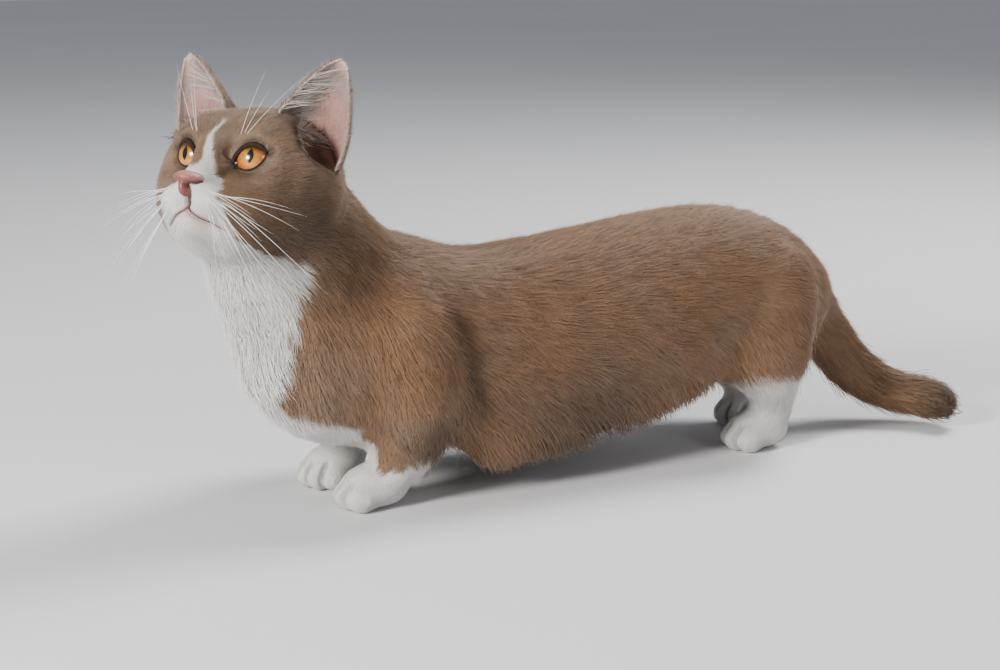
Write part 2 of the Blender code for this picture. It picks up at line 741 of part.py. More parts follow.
def ears(head, cat, cutters):
    columns, rows = EAR_GRID
    middle = (Vector(EAR_INNER_BASE) + Vector(EAR_OUTER_BASE)) / 2
    for side, word in ((1, "left"), (-1, "right")):
        bag = bmesh.new()
        place = mirrored(middle + Vector(EAR_HOLLOW[0]), side)
        ball(bag, place, EAR_HOLLOW[1], head_matrix(), (math.radians(-40) * side, 0, 0))
        joined_or_cut(head, object_from(bag, "hollow_" + word, cutters), "DIFFERENCE")
    for side, word in ((1, "left"), (-1, "right")):
        bag = bmesh.new()
        bmesh.ops.create_grid(bag, x_segments=columns, y_segments=rows, size=1.0)
        for vertex in bag.verts:
            across = math.sin(vertex.co.x * math.pi / 2)
            up = -EAR_ROOT + (1 + EAR_ROOT) * (vertex.co.y + 1) / 2
            vertex.co = mirrored(ear_point(across, min(up, 0.985)), side)
        bag.transform(head_matrix())
        ear = object_from(bag, "ear_" + word, cat)
        wall = ear.modifiers.new("Wall", "SOLIDIFY")
        wall.thickness = EAR_THICKNESS
        wall.offset = 0.0
        soft = ear.modifiers.new("Soft", "SUBSURF")
        soft.levels = 1
        soft.render_levels = 1
        apply_modifiers(ear)
        bag = bmesh.new()
        bag.from_mesh(ear.data)
        bmesh.ops.recalc_face_normals(bag, faces=bag.faces)
        bag.to_mesh(ear.data)
        bag.free()
        joined_or_cut(ear, grown(head, "head_wider_" + word, cutters, GAP * 1.4), "DIFFERENCE")
        keep_largest(ear)


def leg_cutter(name, beads, place, side, cutters):
    """The leg's own beads, a little fatter, and balls round its paw, in triangles that grow without a flip."""
    bag = bmesh.new()
    string_of_beads(bag, beads, side, LEG_CUT_MARGIN, fineness=3)
    for height in (0.0, 0.012):
        ball(bag, (place[0], place[1] * side, height), PAW_CUT_RADII, fineness=3)
    return thinned(remeshed(object_from(bag, name, cutters), CUTTER_VOXEL, FLESH_SMOOTHING), CUTTER_KEPT)


def thinned(piece, share):
    thin = piece.modifiers.new("Thin", "DECIMATE")
    thin.ratio = share
    thin.use_collapse_triangulate = True
    return apply_modifiers(piece)


def legs(whole, cat, cutters):
    for side, word in ((-1, "left"), (1, "right")):
        for kind, beads, place, _ in leg_plans(side):
            cutter = leg_cutter(f"{kind}leg_cutter_{word}", beads, place, side, cutters)
            leg = part_off(whole, cutter, f"{kind}leg_{word}", cat, cutters, GAP * 2.5)
            below = half_space(f"{kind}paw_cutter_{word}", (place[0], 0, WRIST_HEIGHT), (0, 0, -1), cutters)
            part_off(leg, below, f"{kind}paw_{word}", cat, cutters)


def painted(node, colour, roughness):
    """The node's own material, smooth shading, and an edge where it was cut."""
    paint = bpy.data.materials.new(node.name)
    paint.use_nodes = True
    shader = paint.node_tree.nodes["Principled BSDF"]
    shader.inputs["Base Color"].default_value = (*colour, 1)
    shader.inputs["Roughness"].default_value = roughness
    node.data.materials.clear()
    node.data.materials.append(paint)
    node.data.shade_smooth()
    node.data.set_sharp_from_angle(angle=math.radians(SHARP_ANGLE))


def paint_nodes(cat):
    for node in cat.objects:
        word = node.name.split("_")[0]
        colour, roughness = COLOURS.get(word, COLOURS["coat"])
        painted(node, colour, roughness)


def build():
    clear_scene()
    cat = collection_named("short_legged_cat")
    cutters = collection_named("cutters")
    whole = flesh(cat, cutters)
    head = part_off(whole, half_space("head_cutter", *HEAD_CUT, cutters), "head", cat, cutters)
    part_off(whole, half_space("neck_cutter", *NECK_CUT, cutters), "neck", cat, cutters)
    for cut, word in ((TAIL_CUTS[1], "tip"), (TAIL_CUTS[0], "base")):
        cutter = half_space("tail_cutter_" + word, *cut, cutters, TAIL_CUT_SPREAD)
        part_off(whole, cutter, "tail_" + word, cat, cutters)
    legs(whole, cat, cutters)
    whole.name = "torso"
    nose_and_mouth(head, cat, cutters)
    eyes(head, cat, cutters)
    ears(head, cat, cutters)
    paint_nodes(cat)
    for cutter in list(cutters.objects):
        bpy.data.objects.remove(cutter)
    for node in cat.objects:
        node.data.transform(Matrix.Translation(CENTRING))


build()
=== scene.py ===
"""Looks of the short-legged house cat: skin, coat, eyes, ears, nose, whiskers and the studio floor."""

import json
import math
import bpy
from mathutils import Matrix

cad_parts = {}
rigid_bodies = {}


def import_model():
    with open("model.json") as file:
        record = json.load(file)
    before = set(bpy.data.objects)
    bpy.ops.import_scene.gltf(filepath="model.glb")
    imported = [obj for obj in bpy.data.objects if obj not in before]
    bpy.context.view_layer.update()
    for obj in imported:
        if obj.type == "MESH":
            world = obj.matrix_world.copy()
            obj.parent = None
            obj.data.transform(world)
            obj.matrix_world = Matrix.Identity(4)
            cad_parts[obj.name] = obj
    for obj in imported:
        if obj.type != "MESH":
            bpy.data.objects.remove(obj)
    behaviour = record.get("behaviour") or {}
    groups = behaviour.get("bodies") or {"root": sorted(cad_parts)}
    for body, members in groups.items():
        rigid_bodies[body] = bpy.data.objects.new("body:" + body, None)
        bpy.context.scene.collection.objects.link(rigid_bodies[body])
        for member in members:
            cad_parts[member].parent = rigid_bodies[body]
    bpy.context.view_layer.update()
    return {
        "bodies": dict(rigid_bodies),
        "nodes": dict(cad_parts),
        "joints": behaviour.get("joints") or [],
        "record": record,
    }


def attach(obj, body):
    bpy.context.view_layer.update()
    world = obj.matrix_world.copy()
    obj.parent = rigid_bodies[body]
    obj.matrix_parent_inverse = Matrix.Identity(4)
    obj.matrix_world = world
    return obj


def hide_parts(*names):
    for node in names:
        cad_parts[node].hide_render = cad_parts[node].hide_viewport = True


bl_info = {
    "name": "Short-legged cat",
    "version": (1, 0, 0),
    "blender": (4, 5, 0),
    "location": "3D View > Sidebar > Cat",
    "description": "Dresses the packed solids of a standing cat with skin, coat, eyes, ears and whiskers",
    "category": "Object",
}

import bmesh
import bpy
import numpy as np
from bpy.props import FloatProperty, FloatVectorProperty, IntProperty, PointerProperty
from mathutils import Euler, Matrix, Vector
from mathutils.bvhtree import BVHTree

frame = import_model()

# Fineness and smoothing of the broad form, and of the whole skin; step between beads.
BROAD_VOXEL = 0.0026
BROAD_SMOOTHING = 16
FLESH_VOXEL = 0.0025
FLESH_SMOOTHING = 3
BEAD_STEP = 0.006
# Trunk stations along the back: x, height of the back, height of the belly, half width.
TRUNK_STATIONS = (
    (-0.15, 0.1007, 0.0487, 0.026), (-0.138, 0.1207, 0.0327, 0.042), (-0.115, 0.1357, 0.0247, 0.052),
    (-0.085, 0.1277, 0.0207, 0.055), (-0.05, 0.1177, 0.0177, 0.056), (-0.01, 0.1187, 0.0187, 0.057),
    (0.03, 0.1227, 0.0217, 0.057), (0.065, 0.1267, 0.0277, 0.055), (0.095, 0.1277, 0.0327, 0.054),
    (0.122, 0.1227, 0.0387, 0.051), (0.144, 0.1107, 0.0447, 0.039), (0.159, 0.0947, 0.0547, 0.023),
)
TRUNK_BEAD_LENGTH = 0.016
# Neck beads: x, y, z, radius.
NECK_BEADS = (
    (-0.12, 0.0, 0.0887, 0.048), (-0.1325, -0.001, 0.1087, 0.0445), (-0.1445, -0.003, 0.1267, 0.0405),
    (-0.1525, -0.005, 0.1447, 0.034),
)
# Tail centre line: x, y, z, radius.
TAIL_BEADS = (
    (0.145, 0.0, 0.076, 0.02), (0.166, 0.0, 0.061, 0.017), (0.179, -0.002, 0.046, 0.015),
    (0.1895, -0.006, 0.0325, 0.0136), (0.199, -0.013, 0.0235, 0.0124), (0.2085, -0.022, 0.0182, 0.0114),
    (0.218, -0.03, 0.0158, 0.0112), (0.2235, -0.0375, 0.0148, 0.0108), (0.224, -0.0445, 0.014, 0.0092),
    (0.2215, -0.05, 0.0136, 0.0062),
)
# Head: place of its own origin, and how it is turned and raised (degrees).
HEAD_CENTRE = (-0.163, -0.007, 0.1527)
HEAD_YAW = 32.0
HEAD_PITCH = 17.0
# Head masses in the head's own axes (forward, left, up): centre, radii. Those with a left
# coordinate stand on both sides. Each list is blended over its own width.
SKULL_BLEND = 0.009
SKULL_MASSES = (
    ((-0.01, 0.0, 0.008), (0.037, 0.037, 0.031)),
    ((0.007, 0.0, -0.004), (0.026, 0.034, 0.026)),
    ((0.018, 0.0, 0.01), (0.0165, 0.013, 0.016)),
    ((-0.006, 0.019, -0.009), (0.027, 0.024, 0.021)),
    ((0.0, 0.022, 0.004), (0.023, 0.021, 0.02)),
    ((0.01, 0.015, 0.018), (0.017, 0.016, 0.013)),
    ((0.014, 0.018, -0.009), (0.018, 0.014, 0.014)),
    ((0.012, 0.008, -0.021), (0.024, 0.0145, 0.0125)),
)
FACE_BLEND = 0.005
FACE_MASSES = (
    ((0.029, 0.0, 0.006), (0.01, 0.008, 0.014)),
    ((0.035, 0.0, -0.001), (0.0085, 0.0066, 0.0075)),
    ((0.04, 0.0, -0.0045), (0.0075, 0.0062, 0.0052)),
    ((0.034, 0.0085, -0.0115), (0.0115, 0.0092, 0.0082)),
    ((0.034, 0.0, -0.021), (0.011, 0.009, 0.0072)),
    ((0.023, 0.015, -0.0125), (0.015, 0.011, 0.011)),
)
LID_BLEND = 0.0022
SOCKET = ((0.0315, 0.018, 0.0098), (0.0068, 0.0098, 0.0078))
SOCKET_BLEND = 0.006
# Middle from which the head's surface is found, how far out it is looked for, how far its finer
# faces reach, and the steps of the search.
HEAD_CORE = (0.006, 0.0, -0.003)
HEAD_REACH = 0.08
FINE_REACH = 0.056
HEAD_STEPS = 18
HEAD_STRIDE = 0.9
# How far above the neck's cut the head's own form takes over: where it is fuller, where leaner.
NECK_FADES = (0.01, 0.024)
EYE_PLACE = (0.0178, 0.0148, 0.0105)
EYE_RADIUS = 0.01
# Limb beads on the left side: x, distance from the middle, z, radius.
FORELEG_BEADS = (
    (-0.098, 0.034, 0.0847, 0.027), (-0.094, 0.037, 0.0607, 0.025), (-0.092, 0.034, 0.0425, 0.019),
    (-0.096, 0.029, 0.026, 0.0145), (-0.102, 0.025, 0.016, 0.0125),
)
HINDLEG_BEADS = (
    (0.112, 0.03, 0.0847, 0.03), (0.108, 0.036, 0.0607, 0.027), (0.113, 0.034, 0.044, 0.0195),
    (0.119, 0.031, 0.032, 0.0145), (0.12, 0.029, 0.02, 0.0125), (0.117, 0.027, 0.013, 0.012),
)
# Fringe of longer coat under the belly, on the left side: x, distance from the middle, lowest height.
BELLY_STATIONS = (
    (-0.066, 0.03, 0.023), (-0.05, 0.032, 0.018), (-0.03, 0.033, 0.018), (-0.01, 0.033, 0.0195),
    (0.01, 0.033, 0.0225), (0.034, 0.033, 0.027), (0.058, 0.032, 0.0325), (0.078, 0.03, 0.0385),
)
BELLY_RADII = (0.016, 0.017, 0.03)
# The right hind leg is set back and nearer to the middle at the foot, and not at the hip.
FAR_STRIDE = (0.026, -0.011)
HIP_HEIGHT = 0.085
# Paws: x and distance from the middle, turned outwards by some degrees.
FOREPAW_PLACE = (-0.109, 0.022)
HINDPAW_PLACE = (0.113, 0.027)
FOREPAW_TURN = 16.0
HINDPAW_TURN = 14.0
PALM_RADII = (0.0175, 0.0135, 0.0115)
PALM_HEIGHT = 0.0105
TOE_RADII = (0.0085, 0.005, 0.0074)
TOE_HEIGHT = 0.0062
# Toe centres from the paw's place: forward, outward.
TOE_PLACES = ((0.0075, -0.0106), (0.0125, -0.0038), (0.013, 0.0038), (0.008, 0.0106))
# Ears, in the head's own axes, left side: ends of the base, tip, and the depth of the cup.
EAR_INNER_BASE = (0.006, 0.015, 0.036)
EAR_OUTER_BASE = (-0.004, 0.042, 0.012)
EAR_TIP = (0.003, 0.043, 0.06)
EAR_CUP_DEPTH = 0.016
EAR_ROOT = 0.3
# Eye: how far its opening turns outwards, in degrees, how far the lids stand over the ball, and
# the tilt of its outer corner, in degrees.
EYE_GAZE_OUT = 18.0
LID_THICKNESS = 0.0016
EYE_TILT = 14.0
# Nose leather and mouth, in the head's own axes.
NOSE_MASSES = (
    ((0.0445, 0.0, -0.003), (0.0066, 0.0069, 0.0034)),
    ((0.0455, 0.0, -0.007), (0.005, 0.0024, 0.0042)),
)
MOUTH_LINE = (
    (0.044, 0.0, -0.01), (0.043, 0.0, -0.015), (0.041, 0.0045, -0.0178), (0.037, 0.0095, -0.02),
    (0.031, 0.0135, -0.0212),
)
MOUTH_STEP = 0.0011
# Hollow of the head at the root of the ear: offset from the middle of the ear's base, radii, turn
# in degrees, and the width over which its edge is rounded.
EAR_HOLLOW = ((-0.0006, 0.0056, -0.002), (0.011, 0.0112, 0.0105))
EAR_HOLLOW_TURN = -40.0
EAR_HOLLOW_BLEND = 0.0035
# Plane where the neck ends: a point on it, and the direction of the head's side.
HEAD_CUT = ((-0.146, -0.004, 0.13), (-0.46, -0.1, 0.88))
# Moves the finished nodes so that their common box stands over the origin.
CENTRING = (-0.0158, 0.0027, 0.0)

# How far the skin lies inside the solids; the core is where longer coat hangs outside them.
COAT_DEPTHS = {"body": 0.0021, "head": 0.001, "neck": 0.0018, "leg": 0.0013, "paw": 0.0008, "core": 0.001}
FLOOR_CLEARANCE = 0.0003

# Eye opening, in degrees seen from the eye's centre: longitudes of its corners (inner, outer),
# their latitudes, and how far the lids' edges rise above and drop below the line between them.
EYE_CORNERS = (-45.0, 41.0)
EYE_CORNER_HEIGHTS = (-8.0, 6.0)
EYE_UPPER = 33.0
EYE_LOWER = 28.0
EYE_UPPER_FULLNESS = 0.62
EYE_LOWER_FULLNESS = 0.72
# Where each pupil looks, in the head's axes: degrees outwards and degrees up.
GAZES = {1: (18.5, 4.5), -1: (9.0, -0.5)}

# Bib: height, and half its width in degrees round the chest's axis.
BIB_EDGE = (
    (0.044, 64.0), (0.0492, 46.0), (0.0527, 31.0), (0.0545, 18.0), (0.0581, 14.6), (0.0677, 19.6),
    (0.0727, 26.0), (0.0853, 31.0), (0.0971, 35.0), (0.111, 36.5), (0.1257, 36.0),
)
BIB_AXIS = (-0.106, -0.001)
# White of the throat and muzzle, in the head's axes: half width by place forward, half width by
# height, and the height below which it lies by place forward.
THROAT_EDGE = ((0.0016, 0.033), (0.0108, 0.0215), (0.0254, 0.0187), (0.035, 0.018), (0.045, 0.017))
PAD_EDGE = ((-0.026, 0.0172), (-0.013, 0.016), (-0.006, 0.0132), (-0.001, 0.009), (0.003, 0.0045))
MUZZLE_TOP = ((0.0, -0.03), (0.02, -0.027), (0.028, -0.02), (0.033, -0.004), (0.04, 0.003))
# Blaze: height in the head's axes, middle, half width.
BLAZE = (
    (-0.002, 0.002, 0.0055), (0.001, 0.003, 0.0036), (0.0055, 0.0038, 0.0021), (0.013, 0.0018, 0.0014),
    (0.0225, -0.0006, 0.0008), (0.027, -0.0008, 0.0006),
)
# White feet: heights where the white ends, at the front and back of the forelegs and on the hind legs.
FORE_WHITE = (0.019, 0.0255)
HIND_WHITE = 0.045
# Darker places: middle, radius, strength. The elbow's is partly its own darker coat and partly painted
# shade; those of the cheek, the neck's side, low on the flank under the belly and where the thigh meets the
# belly are painted shade.
SHADES = (
    ((-0.0893, 0.05, 0.0364), 0.017, 0.5),
    ((-0.16, 0.045, 0.14), 0.029, 0.68),
    ((-0.134, 0.042, 0.126), 0.026, 0.5),
    ((-0.01, 0.038, 0.026), 0.045, 0.42),
    ((0.09, 0.04, 0.04), 0.013, 0.45),
)
# The crease behind the shoulder, along which the coat is painted darker as shade.
CREASE_LINE = (
    (-0.084, 0.05, 0.098), (-0.079, 0.0515, 0.085), (-0.0755, 0.053, 0.07), (-0.07, 0.0505, 0.052),
)
# Dark lines of the left half of the face, in the head's axes: below the eye's corner, and on the brow.
TEAR_LINE = ((0.03, 0.0095, 0.0062), (0.0345, 0.008, 0.001))
BROW_TICK = ((0.0215, 0.0125, 0.0275), (0.0165, 0.0115, 0.0315))
# Greyer places: middle, radius.
GREY_PLACES = (
    ((-0.143, 0.034, 0.072), 0.026),
    ((-0.01, 0.04, 0.027), 0.05),
    ((-0.098, 0.048, 0.038), 0.02),
    ((-0.174, 0.01, 0.185), 0.026),
)

# Way the coat lies: a place on the cat's side and the direction there, both with the second value outwards.
LIE_GUIDES = (
    ((-0.142, 0.0, 0.155), (0.6, 0.0, -0.8)),
    ((-0.118, 0.0, 0.14), (0.88, 0.0, -0.45)),
    ((-0.05, 0.0, 0.12), (1.0, 0.0, -0.06)),
    ((0.02, 0.0, 0.124), (1.0, 0.0, 0.0)),
    ((0.09, 0.0, 0.129), (1.0, 0.0, -0.05)),
    ((0.135, 0.0, 0.115), (0.85, 0.0, -0.5)),
    ((-0.133, 0.042, 0.125), (0.58, 0.0, -0.82)),
    ((-0.128, 0.047, 0.1), (0.42, 0.0, -0.9)),
    ((-0.145, 0.034, 0.08), (0.22, 0.16, -0.95)),
    ((-0.156, 0.0, 0.09), (0.1, 0.0, -1.0)),
    ((-0.148, 0.0, 0.058), (0.45, 0.0, -0.88)),
    ((-0.118, 0.054, 0.09), (0.45, 0.0, -0.88)),
    ((-0.098, 0.055, 0.105), (0.7, 0.0, -0.65)),
    ((-0.098, 0.06, 0.07), (0.36, 0.0, -0.92)),
    ((-0.078, 0.055, 0.09), (0.72, 0.0, -0.66)),
    ((-0.078, 0.05, 0.045), (0.62, 0.0, -0.78)),
    ((-0.055, 0.056, 0.08), (0.86, 0.0, -0.48)),
    ((-0.05, 0.052, 0.045), (0.7, 0.05, -0.7)),
    ((0.0, 0.057, 0.08), (0.95, 0.0, -0.28)),
    ((0.0, 0.05, 0.042), (0.74, 0.08, -0.66)),
    ((0.0, 0.0, 0.019), (1.0, 0.0, 0.0)),
    ((0.055, 0.055, 0.085), (0.96, 0.0, -0.24)),
    ((0.055, 0.048, 0.048), (0.72, 0.08, -0.68)),
    ((0.095, 0.055, 0.095), (0.93, 0.0, -0.34)),
    ((0.105, 0.058, 0.068), (0.55, 0.0, -0.82)),
    ((0.09, 0.05, 0.05), (0.6, 0.0, -0.8)),
    ((0.13, 0.05, 0.09), (0.86, -0.1, -0.48)),
    ((0.135, 0.045, 0.065), (0.45, -0.1, -0.88)),
    ((0.15, 0.02, 0.09), (0.75, -0.1, -0.62)),
    ((0.148, 0.02, 0.06), (0.3, 0.0, -0.95)),
    ((0.12, 0.035, 0.035), (-0.1, 0.0, -1.0)),
    ((-0.098, 0.045, 0.04), (0.12, 0.0, -1.0)),
    ((-0.115, 0.034, 0.045), (0.05, 0.0, -1.0)),
    ((-0.098, 0.015, 0.04), (0.05, 0.0, -1.0)),
)
# Length of the coat: a place on the cat's side, and the length there.
LENGTH_GUIDES = (
    ((-0.05, 0.0, 0.12), 0.009), ((0.05, 0.0, 0.126), 0.009), ((0.13, 0.0, 0.12), 0.0095),
    ((-0.135, 0.0, 0.15), 0.0075), ((-0.133, 0.042, 0.125), 0.0085), ((-0.156, 0.0, 0.085), 0.012),
    ((-0.145, 0.034, 0.075), 0.011), ((-0.115, 0.054, 0.095), 0.0095), ((-0.098, 0.058, 0.07), 0.0085),
    ((-0.098, 0.048, 0.045), 0.007), ((-0.11, 0.03, 0.03), 0.0045), ((-0.078, 0.048, 0.045), 0.012),
    ((-0.05, 0.055, 0.08), 0.01), ((0.02, 0.057, 0.08), 0.01), ((0.02, 0.05, 0.045), 0.0125),
    ((-0.05, 0.05, 0.04), 0.0135), ((0.08, 0.048, 0.05), 0.011), ((0.105, 0.058, 0.07), 0.009),
    ((0.135, 0.045, 0.07), 0.011), ((0.115, 0.035, 0.035), 0.006), ((0.118, 0.03, 0.015), 0.0035),
    ((-0.11, 0.022, 0.012), 0.0032), ((0.0, 0.0, 0.019), 0.011),
)
# Size of a tuft's patch on the unwrap, and how much a tuft is lit as the surface round it is.
TUFT_PATCH = 0.003
ROUNDING = 0.6
# Long tufts: piece, middle of their place, its reach each way, share of their number, length,
# lift at the middle and tip, how far they follow the body, how far they fall, and their lean.
LONG_PLACES = (
    (
        "fringe_front", (-0.04, 0.042, 0.033), (0.042, 0.026, 0.018),
        0.23, 0.019, (0.06, 0.06), 0.15, 0.25, (0.1, 0.1, -0.35),
    ),
    (
        "fringe_back", (0.04, 0.042, 0.038), (0.048, 0.026, 0.018),
        0.21, 0.018, (0.06, 0.06), 0.15, 0.25, (0.1, 0.1, -0.3),
    ),
    (
        "fringe_elbow", (-0.07, 0.04, 0.03), (0.02, 0.02, 0.017),
        0.08, 0.019, (0.06, 0.06), 0.15, 0.3, (0.05, 0.05, -0.4),
    ),
    (
        "bib_coat", (-0.158, 0.0, 0.085), (0.03, 0.03, 0.042),
        0.2, 0.014, (0.1, 0.15), 0.85, 0.0, (0.0, 0.0, 0.0),
    ),
    (
        "elbow_coat", (-0.076, 0.046, 0.042), (0.018, 0.016, 0.02),
        0.08, 0.013, (0.1, 0.16), 0.6, 0.08, (0.2, 0.0, -0.1),
    ),
    (
        "breeches_coat", (0.135, 0.038, 0.058), (0.02, 0.024, 0.026),
        0.1, 0.013, (0.1, 0.16), 0.6, 0.08, (0.1, 0.0, -0.1),
    ),
    (
        "tail_coat", (0.205, 0.024, 0.02), (0.045, 0.042, 0.042),
        0.18, 0.015, (0.12, 0.17), 0.55, 0.0, (0.0, 0.0, 0.0),
    ),
)

# Brightness of a tuft from root to tip, and from the darkest to the palest tuft.
COAT_RAMP = (0.7, 1.22)
COAT_LUCK = (0.7, 1.32)
WHITE_RAMP = (0.7, 1.06)
FLESH_NODES = (
    "torso", "head", "neck", "tail_base", "tail_tip", "foreleg_left", "forepaw_left", "foreleg_right",
    "forepaw_right", "hindleg_left", "hindpaw_left", "hindleg_right", "hindpaw_right",
)
EYE_RIM_COLOUR = (0.03, 0.014, 0.006)
PUPIL_COLOUR = (0.004, 0.003, 0.003)

# Stage: colours of the floor, the lights (name, direction towards it, distance, size, power, colour),
# the world's light, and the camera.
FLOOR_COLOURS = ((0.74, 0.75, 0.77), (0.8, 0.8, 0.81))
STAGE_MIDDLE = (0.0, 0.0, 0.09)
LIGHTS = (
    ("key", (-0.9, -0.3, 0.36), 1.6, 0.38, 38.0, (1.0, 0.97, 0.93)),
    ("second", (0.3, -0.9, 0.4), 2.0, 0.5, 4.0, (1.0, 0.97, 0.94)),
    ("top", (0.62, 0.1, 0.8), 1.6, 0.8, 30.0, (1.0, 0.98, 0.96)),
)
WORLD_COLOUR = (0.83, 0.87, 0.95)
WORLD_STRENGTH = 0.33
CAMERA_ANGLES = (-30.0, 12.0)
CAMERA_TARGET = (-0.0438, 0.0027, 0.0702)
CAMERA_DISTANCE = 0.965
CAMERA_LENS = 70.0
# Eyes: rise of the cornea, and for each lid's margin whether it is the upper one, its lift over the
# ball, and its radius at the corners and in the middle.
CORNEA_RISE = 0.0007
LID_RIMS = ((True, 0.0006, 0.0006, 0.00125), (False, 0.0003, 0.0004, 0.0005))
# Nose: fineness, the line of the left nostril, its width and depth, the share of each colour left
# low down, where the leather's lower face is painted in shade, and the nostril's colour, painted
# shade in the nostrils. Lips' line: colours, depth and width.
NOSE_VOXEL = 0.00038
NOSTRIL_LINE = (
    (0.048, 0.0026, -0.0062), (0.0476, 0.0042, -0.005), (0.0462, 0.006, -0.0044), (0.044, 0.0072, -0.0046),
)
NOSTRIL_WIDTH = 0.0017
NOSTRIL_DEPTH = 0.0021
NOSE_LOW_SHADE = (0.44, 0.27, 0.25)
NOSTRIL_SHADE_COLOUR = (0.085, 0.016, 0.014)
LIP_COLOURS = ((0.1, 0.04, 0.035), (0.17, 0.07, 0.06))
LIP_SUNK = 0.0007
LIP_WIDTH = 0.00042
# Ears: grid of the wall, its thickness, and how many short tufts on the back, long hairs in the cup
# and hairs at its mouth each has.
EAR_GRID = (30, 36)
EAR_WALL = 0.001
EAR_TUFTS = 7000
EAR_LONG_HAIRS = 420
EAR_MOUTH_HAIRS = 420
# Whiskers of the muzzle: forward, outward, height of each row, and its aims at the front and the back.
WHISKERS_IN_ROW = 5
WHISKER_ROWS = (
    (0.0395, 0.0095, -0.007, ((0.1, 0.9, -0.25), (-0.45, 0.95, -0.05))),
    (0.039, 0.01, -0.0095, ((0.2, 0.8, -0.55), (-0.38, 0.95, -0.3))),
    (0.0385, 0.01, -0.0125, ((0.25, 0.6, -0.85), (-0.3, 0.88, -0.55))),
    (0.0375, 0.0095, -0.0155, ((0.25, 0.45, -1.0), (-0.2, 0.75, -0.85))),
)
# Whiskers of the brow: place, aim, length; and their thickness.
BROW_WHISKERS = (
    ((0.028, 0.012, 0.0215), (0.05, 0.22, 0.95), 0.03),
    ((0.0265, 0.015, 0.0215), (-0.15, 0.52, 0.82), 0.038),
    ((0.027, 0.0135, 0.0225), (-0.05, 0.36, 0.9), 0.022),
)
BROW_WIDTH = 0.00017
WHISKER_COLOURS = ((0.86, 0.85, 0.83), (0.95, 0.94, 0.92))
# Place along the body that a whisker's tip stays behind, before centring.
WHISKER_REACH = -0.229


def lengths_of(rows):
    """The length of each row."""
    return np.linalg.norm(rows, axis=1)


def unit(rows):
    """The rows, each made one unit long."""
    return rows / lengths_of(rows)[:, None]


def head_matrix():
    """From the head's own axes (forward, left, up) to the world."""
    yaw = math.radians(HEAD_YAW)
    pitch = math.radians(HEAD_PITCH)
    forward = Vector((-math.cos(yaw) * math.cos(pitch), -math.sin(yaw) * math.cos(pitch), math.sin(pitch)))
    left = Vector((0, 0, 1)).cross(forward).normalized()
    axes = Matrix((forward, left, forward.cross(left))).transposed().to_4x4()
    return Matrix.Translation(HEAD_CENTRE) @ axes


def mirrored(point, side):
    """The point with its second coordinate on the side wanted: 1 keeps it, -1 mirrors it."""
    return Vector((point[0], point[1] * side, point[2]))


def ball(bag, centre, radii, frame=Matrix.Identity(4), fineness=3):
    """Adds an ellipsoid to the mesh that is being gathered."""
    place = frame @ Matrix.LocRotScale(Vector(centre), Euler(), Vector(radii))
    bmesh.ops.create_icosphere(bag, subdivisions=fineness, radius=1.0, matrix=place)


def smooth_between(stations, t):
    """Catmull-Rom value between numbered stations, t running from 0 to the last station's number."""
    last = len(stations) - 1
    i = min(int(t), last - 1)
    u = t - i
    p0, p1, p2, p3 = (stations[min(max(k, 0), last)] for k in (i - 1, i, i + 1, i + 2))
    return tuple(
        0.5 * (2 * b + (c - a) * u + (2 * a - 5 * b + 4 * c - d) * u * u + (3 * b - a - 3 * c + d) * u ** 3)
        for a, b, c, d in zip(p0, p1, p2, p3)
    )


def stations_along(stations, step):
    """Stations filled in so that neighbours lie about a step apart in their first three values."""
    found = []
    for i in range(len(stations) - 1):
        reach = (Vector(stations[i][:3]) - Vector(stations[i + 1][:3])).length
        count = max(1, round(reach / step))
        found += [smooth_between(stations, i + k / count) for k in range(count)]
    return found + [stations[-1]]


def string_of_beads(bag, beads, side=1):
    """Overlapping balls along a bent limb, tail or neck."""
    for x, y, z, radius in stations_along(beads, BEAD_STEP):
        ball(bag, (x, y * side, z), (radius, radius, radius), fineness=2)


def strided(points, side):
    """The hind leg's points, or its paw's place, set back on the right side by their depth below the hip."""
    if side < 0:
        return points
    moved = []
    for point in points:
        share = 1 - point[2] / HIP_HEIGHT if len(point) > 2 else 1.0
        moved.append((point[0] + FAR_STRIDE[0] * share, point[1] + FAR_STRIDE[1] * share, *point[2:]))
    return moved


def leg_plans(side):
    """For each leg of a side: its kind, beads, the paw's place and turn."""
    hind_place = strided((HINDPAW_PLACE,), side)[0]
    return (
        ("fore", FORELEG_BEADS, FOREPAW_PLACE, FOREPAW_TURN),
        ("hind", strided(HINDLEG_BEADS, side), hind_place, HINDPAW_TURN),
    )


def trunk(bag):
    """Flat balls along the back and belly."""
    for x, back, belly, half_width in stations_along(TRUNK_STATIONS, BEAD_STEP):
        ball(bag, (x, 0, (back + belly) / 2), (TRUNK_BEAD_LENGTH, half_width, (back - belly) / 2))


def belly(bag, side):
    """Balls that fill out the fringe under the belly."""
    for x, y, low in stations_along(BELLY_STATIONS, BEAD_STEP):
        ball(bag, (x, y * side, low + BELLY_RADII[2]), BELLY_RADII, fineness=2)


def skull_masses(bag):
    """Rough balls of the head, which form_head shapes later."""
    frame = head_matrix()
    for centre, radii in SKULL_MASSES:
        for side in (1, -1) if centre[1] else (1,):
            ball(bag, mirrored(centre, side), radii, frame)


def ball_distance(away, radii):
    """About how far each place, given from the middle of a ball of three radii, lies outside it."""
    inside = lengths_of(away / np.array(radii))
    slope = lengths_of(away / np.square(radii))
    return inside * (inside - 1) / np.maximum(slope, 1e-9)


def distance_to_balls(points, masses, blend):
    """Distance to the blended surface of the masses, less than 0 inside."""
    found = None
    for centre, radii in masses:
        for side in (1, -1) if centre[1] else (1,):
            distance = ball_distance(points - np.array(mirrored(centre, side)), radii)
            found = distance if found is None else blended(found, distance, blend)
    return found


def blended(one, other, width):
    """The smaller of two distances, rounded off where they are nearly equal."""
    near = np.maximum(width - np.abs(one - other), 0) / width
    return np.minimum(one, other) - near * near * width / 4


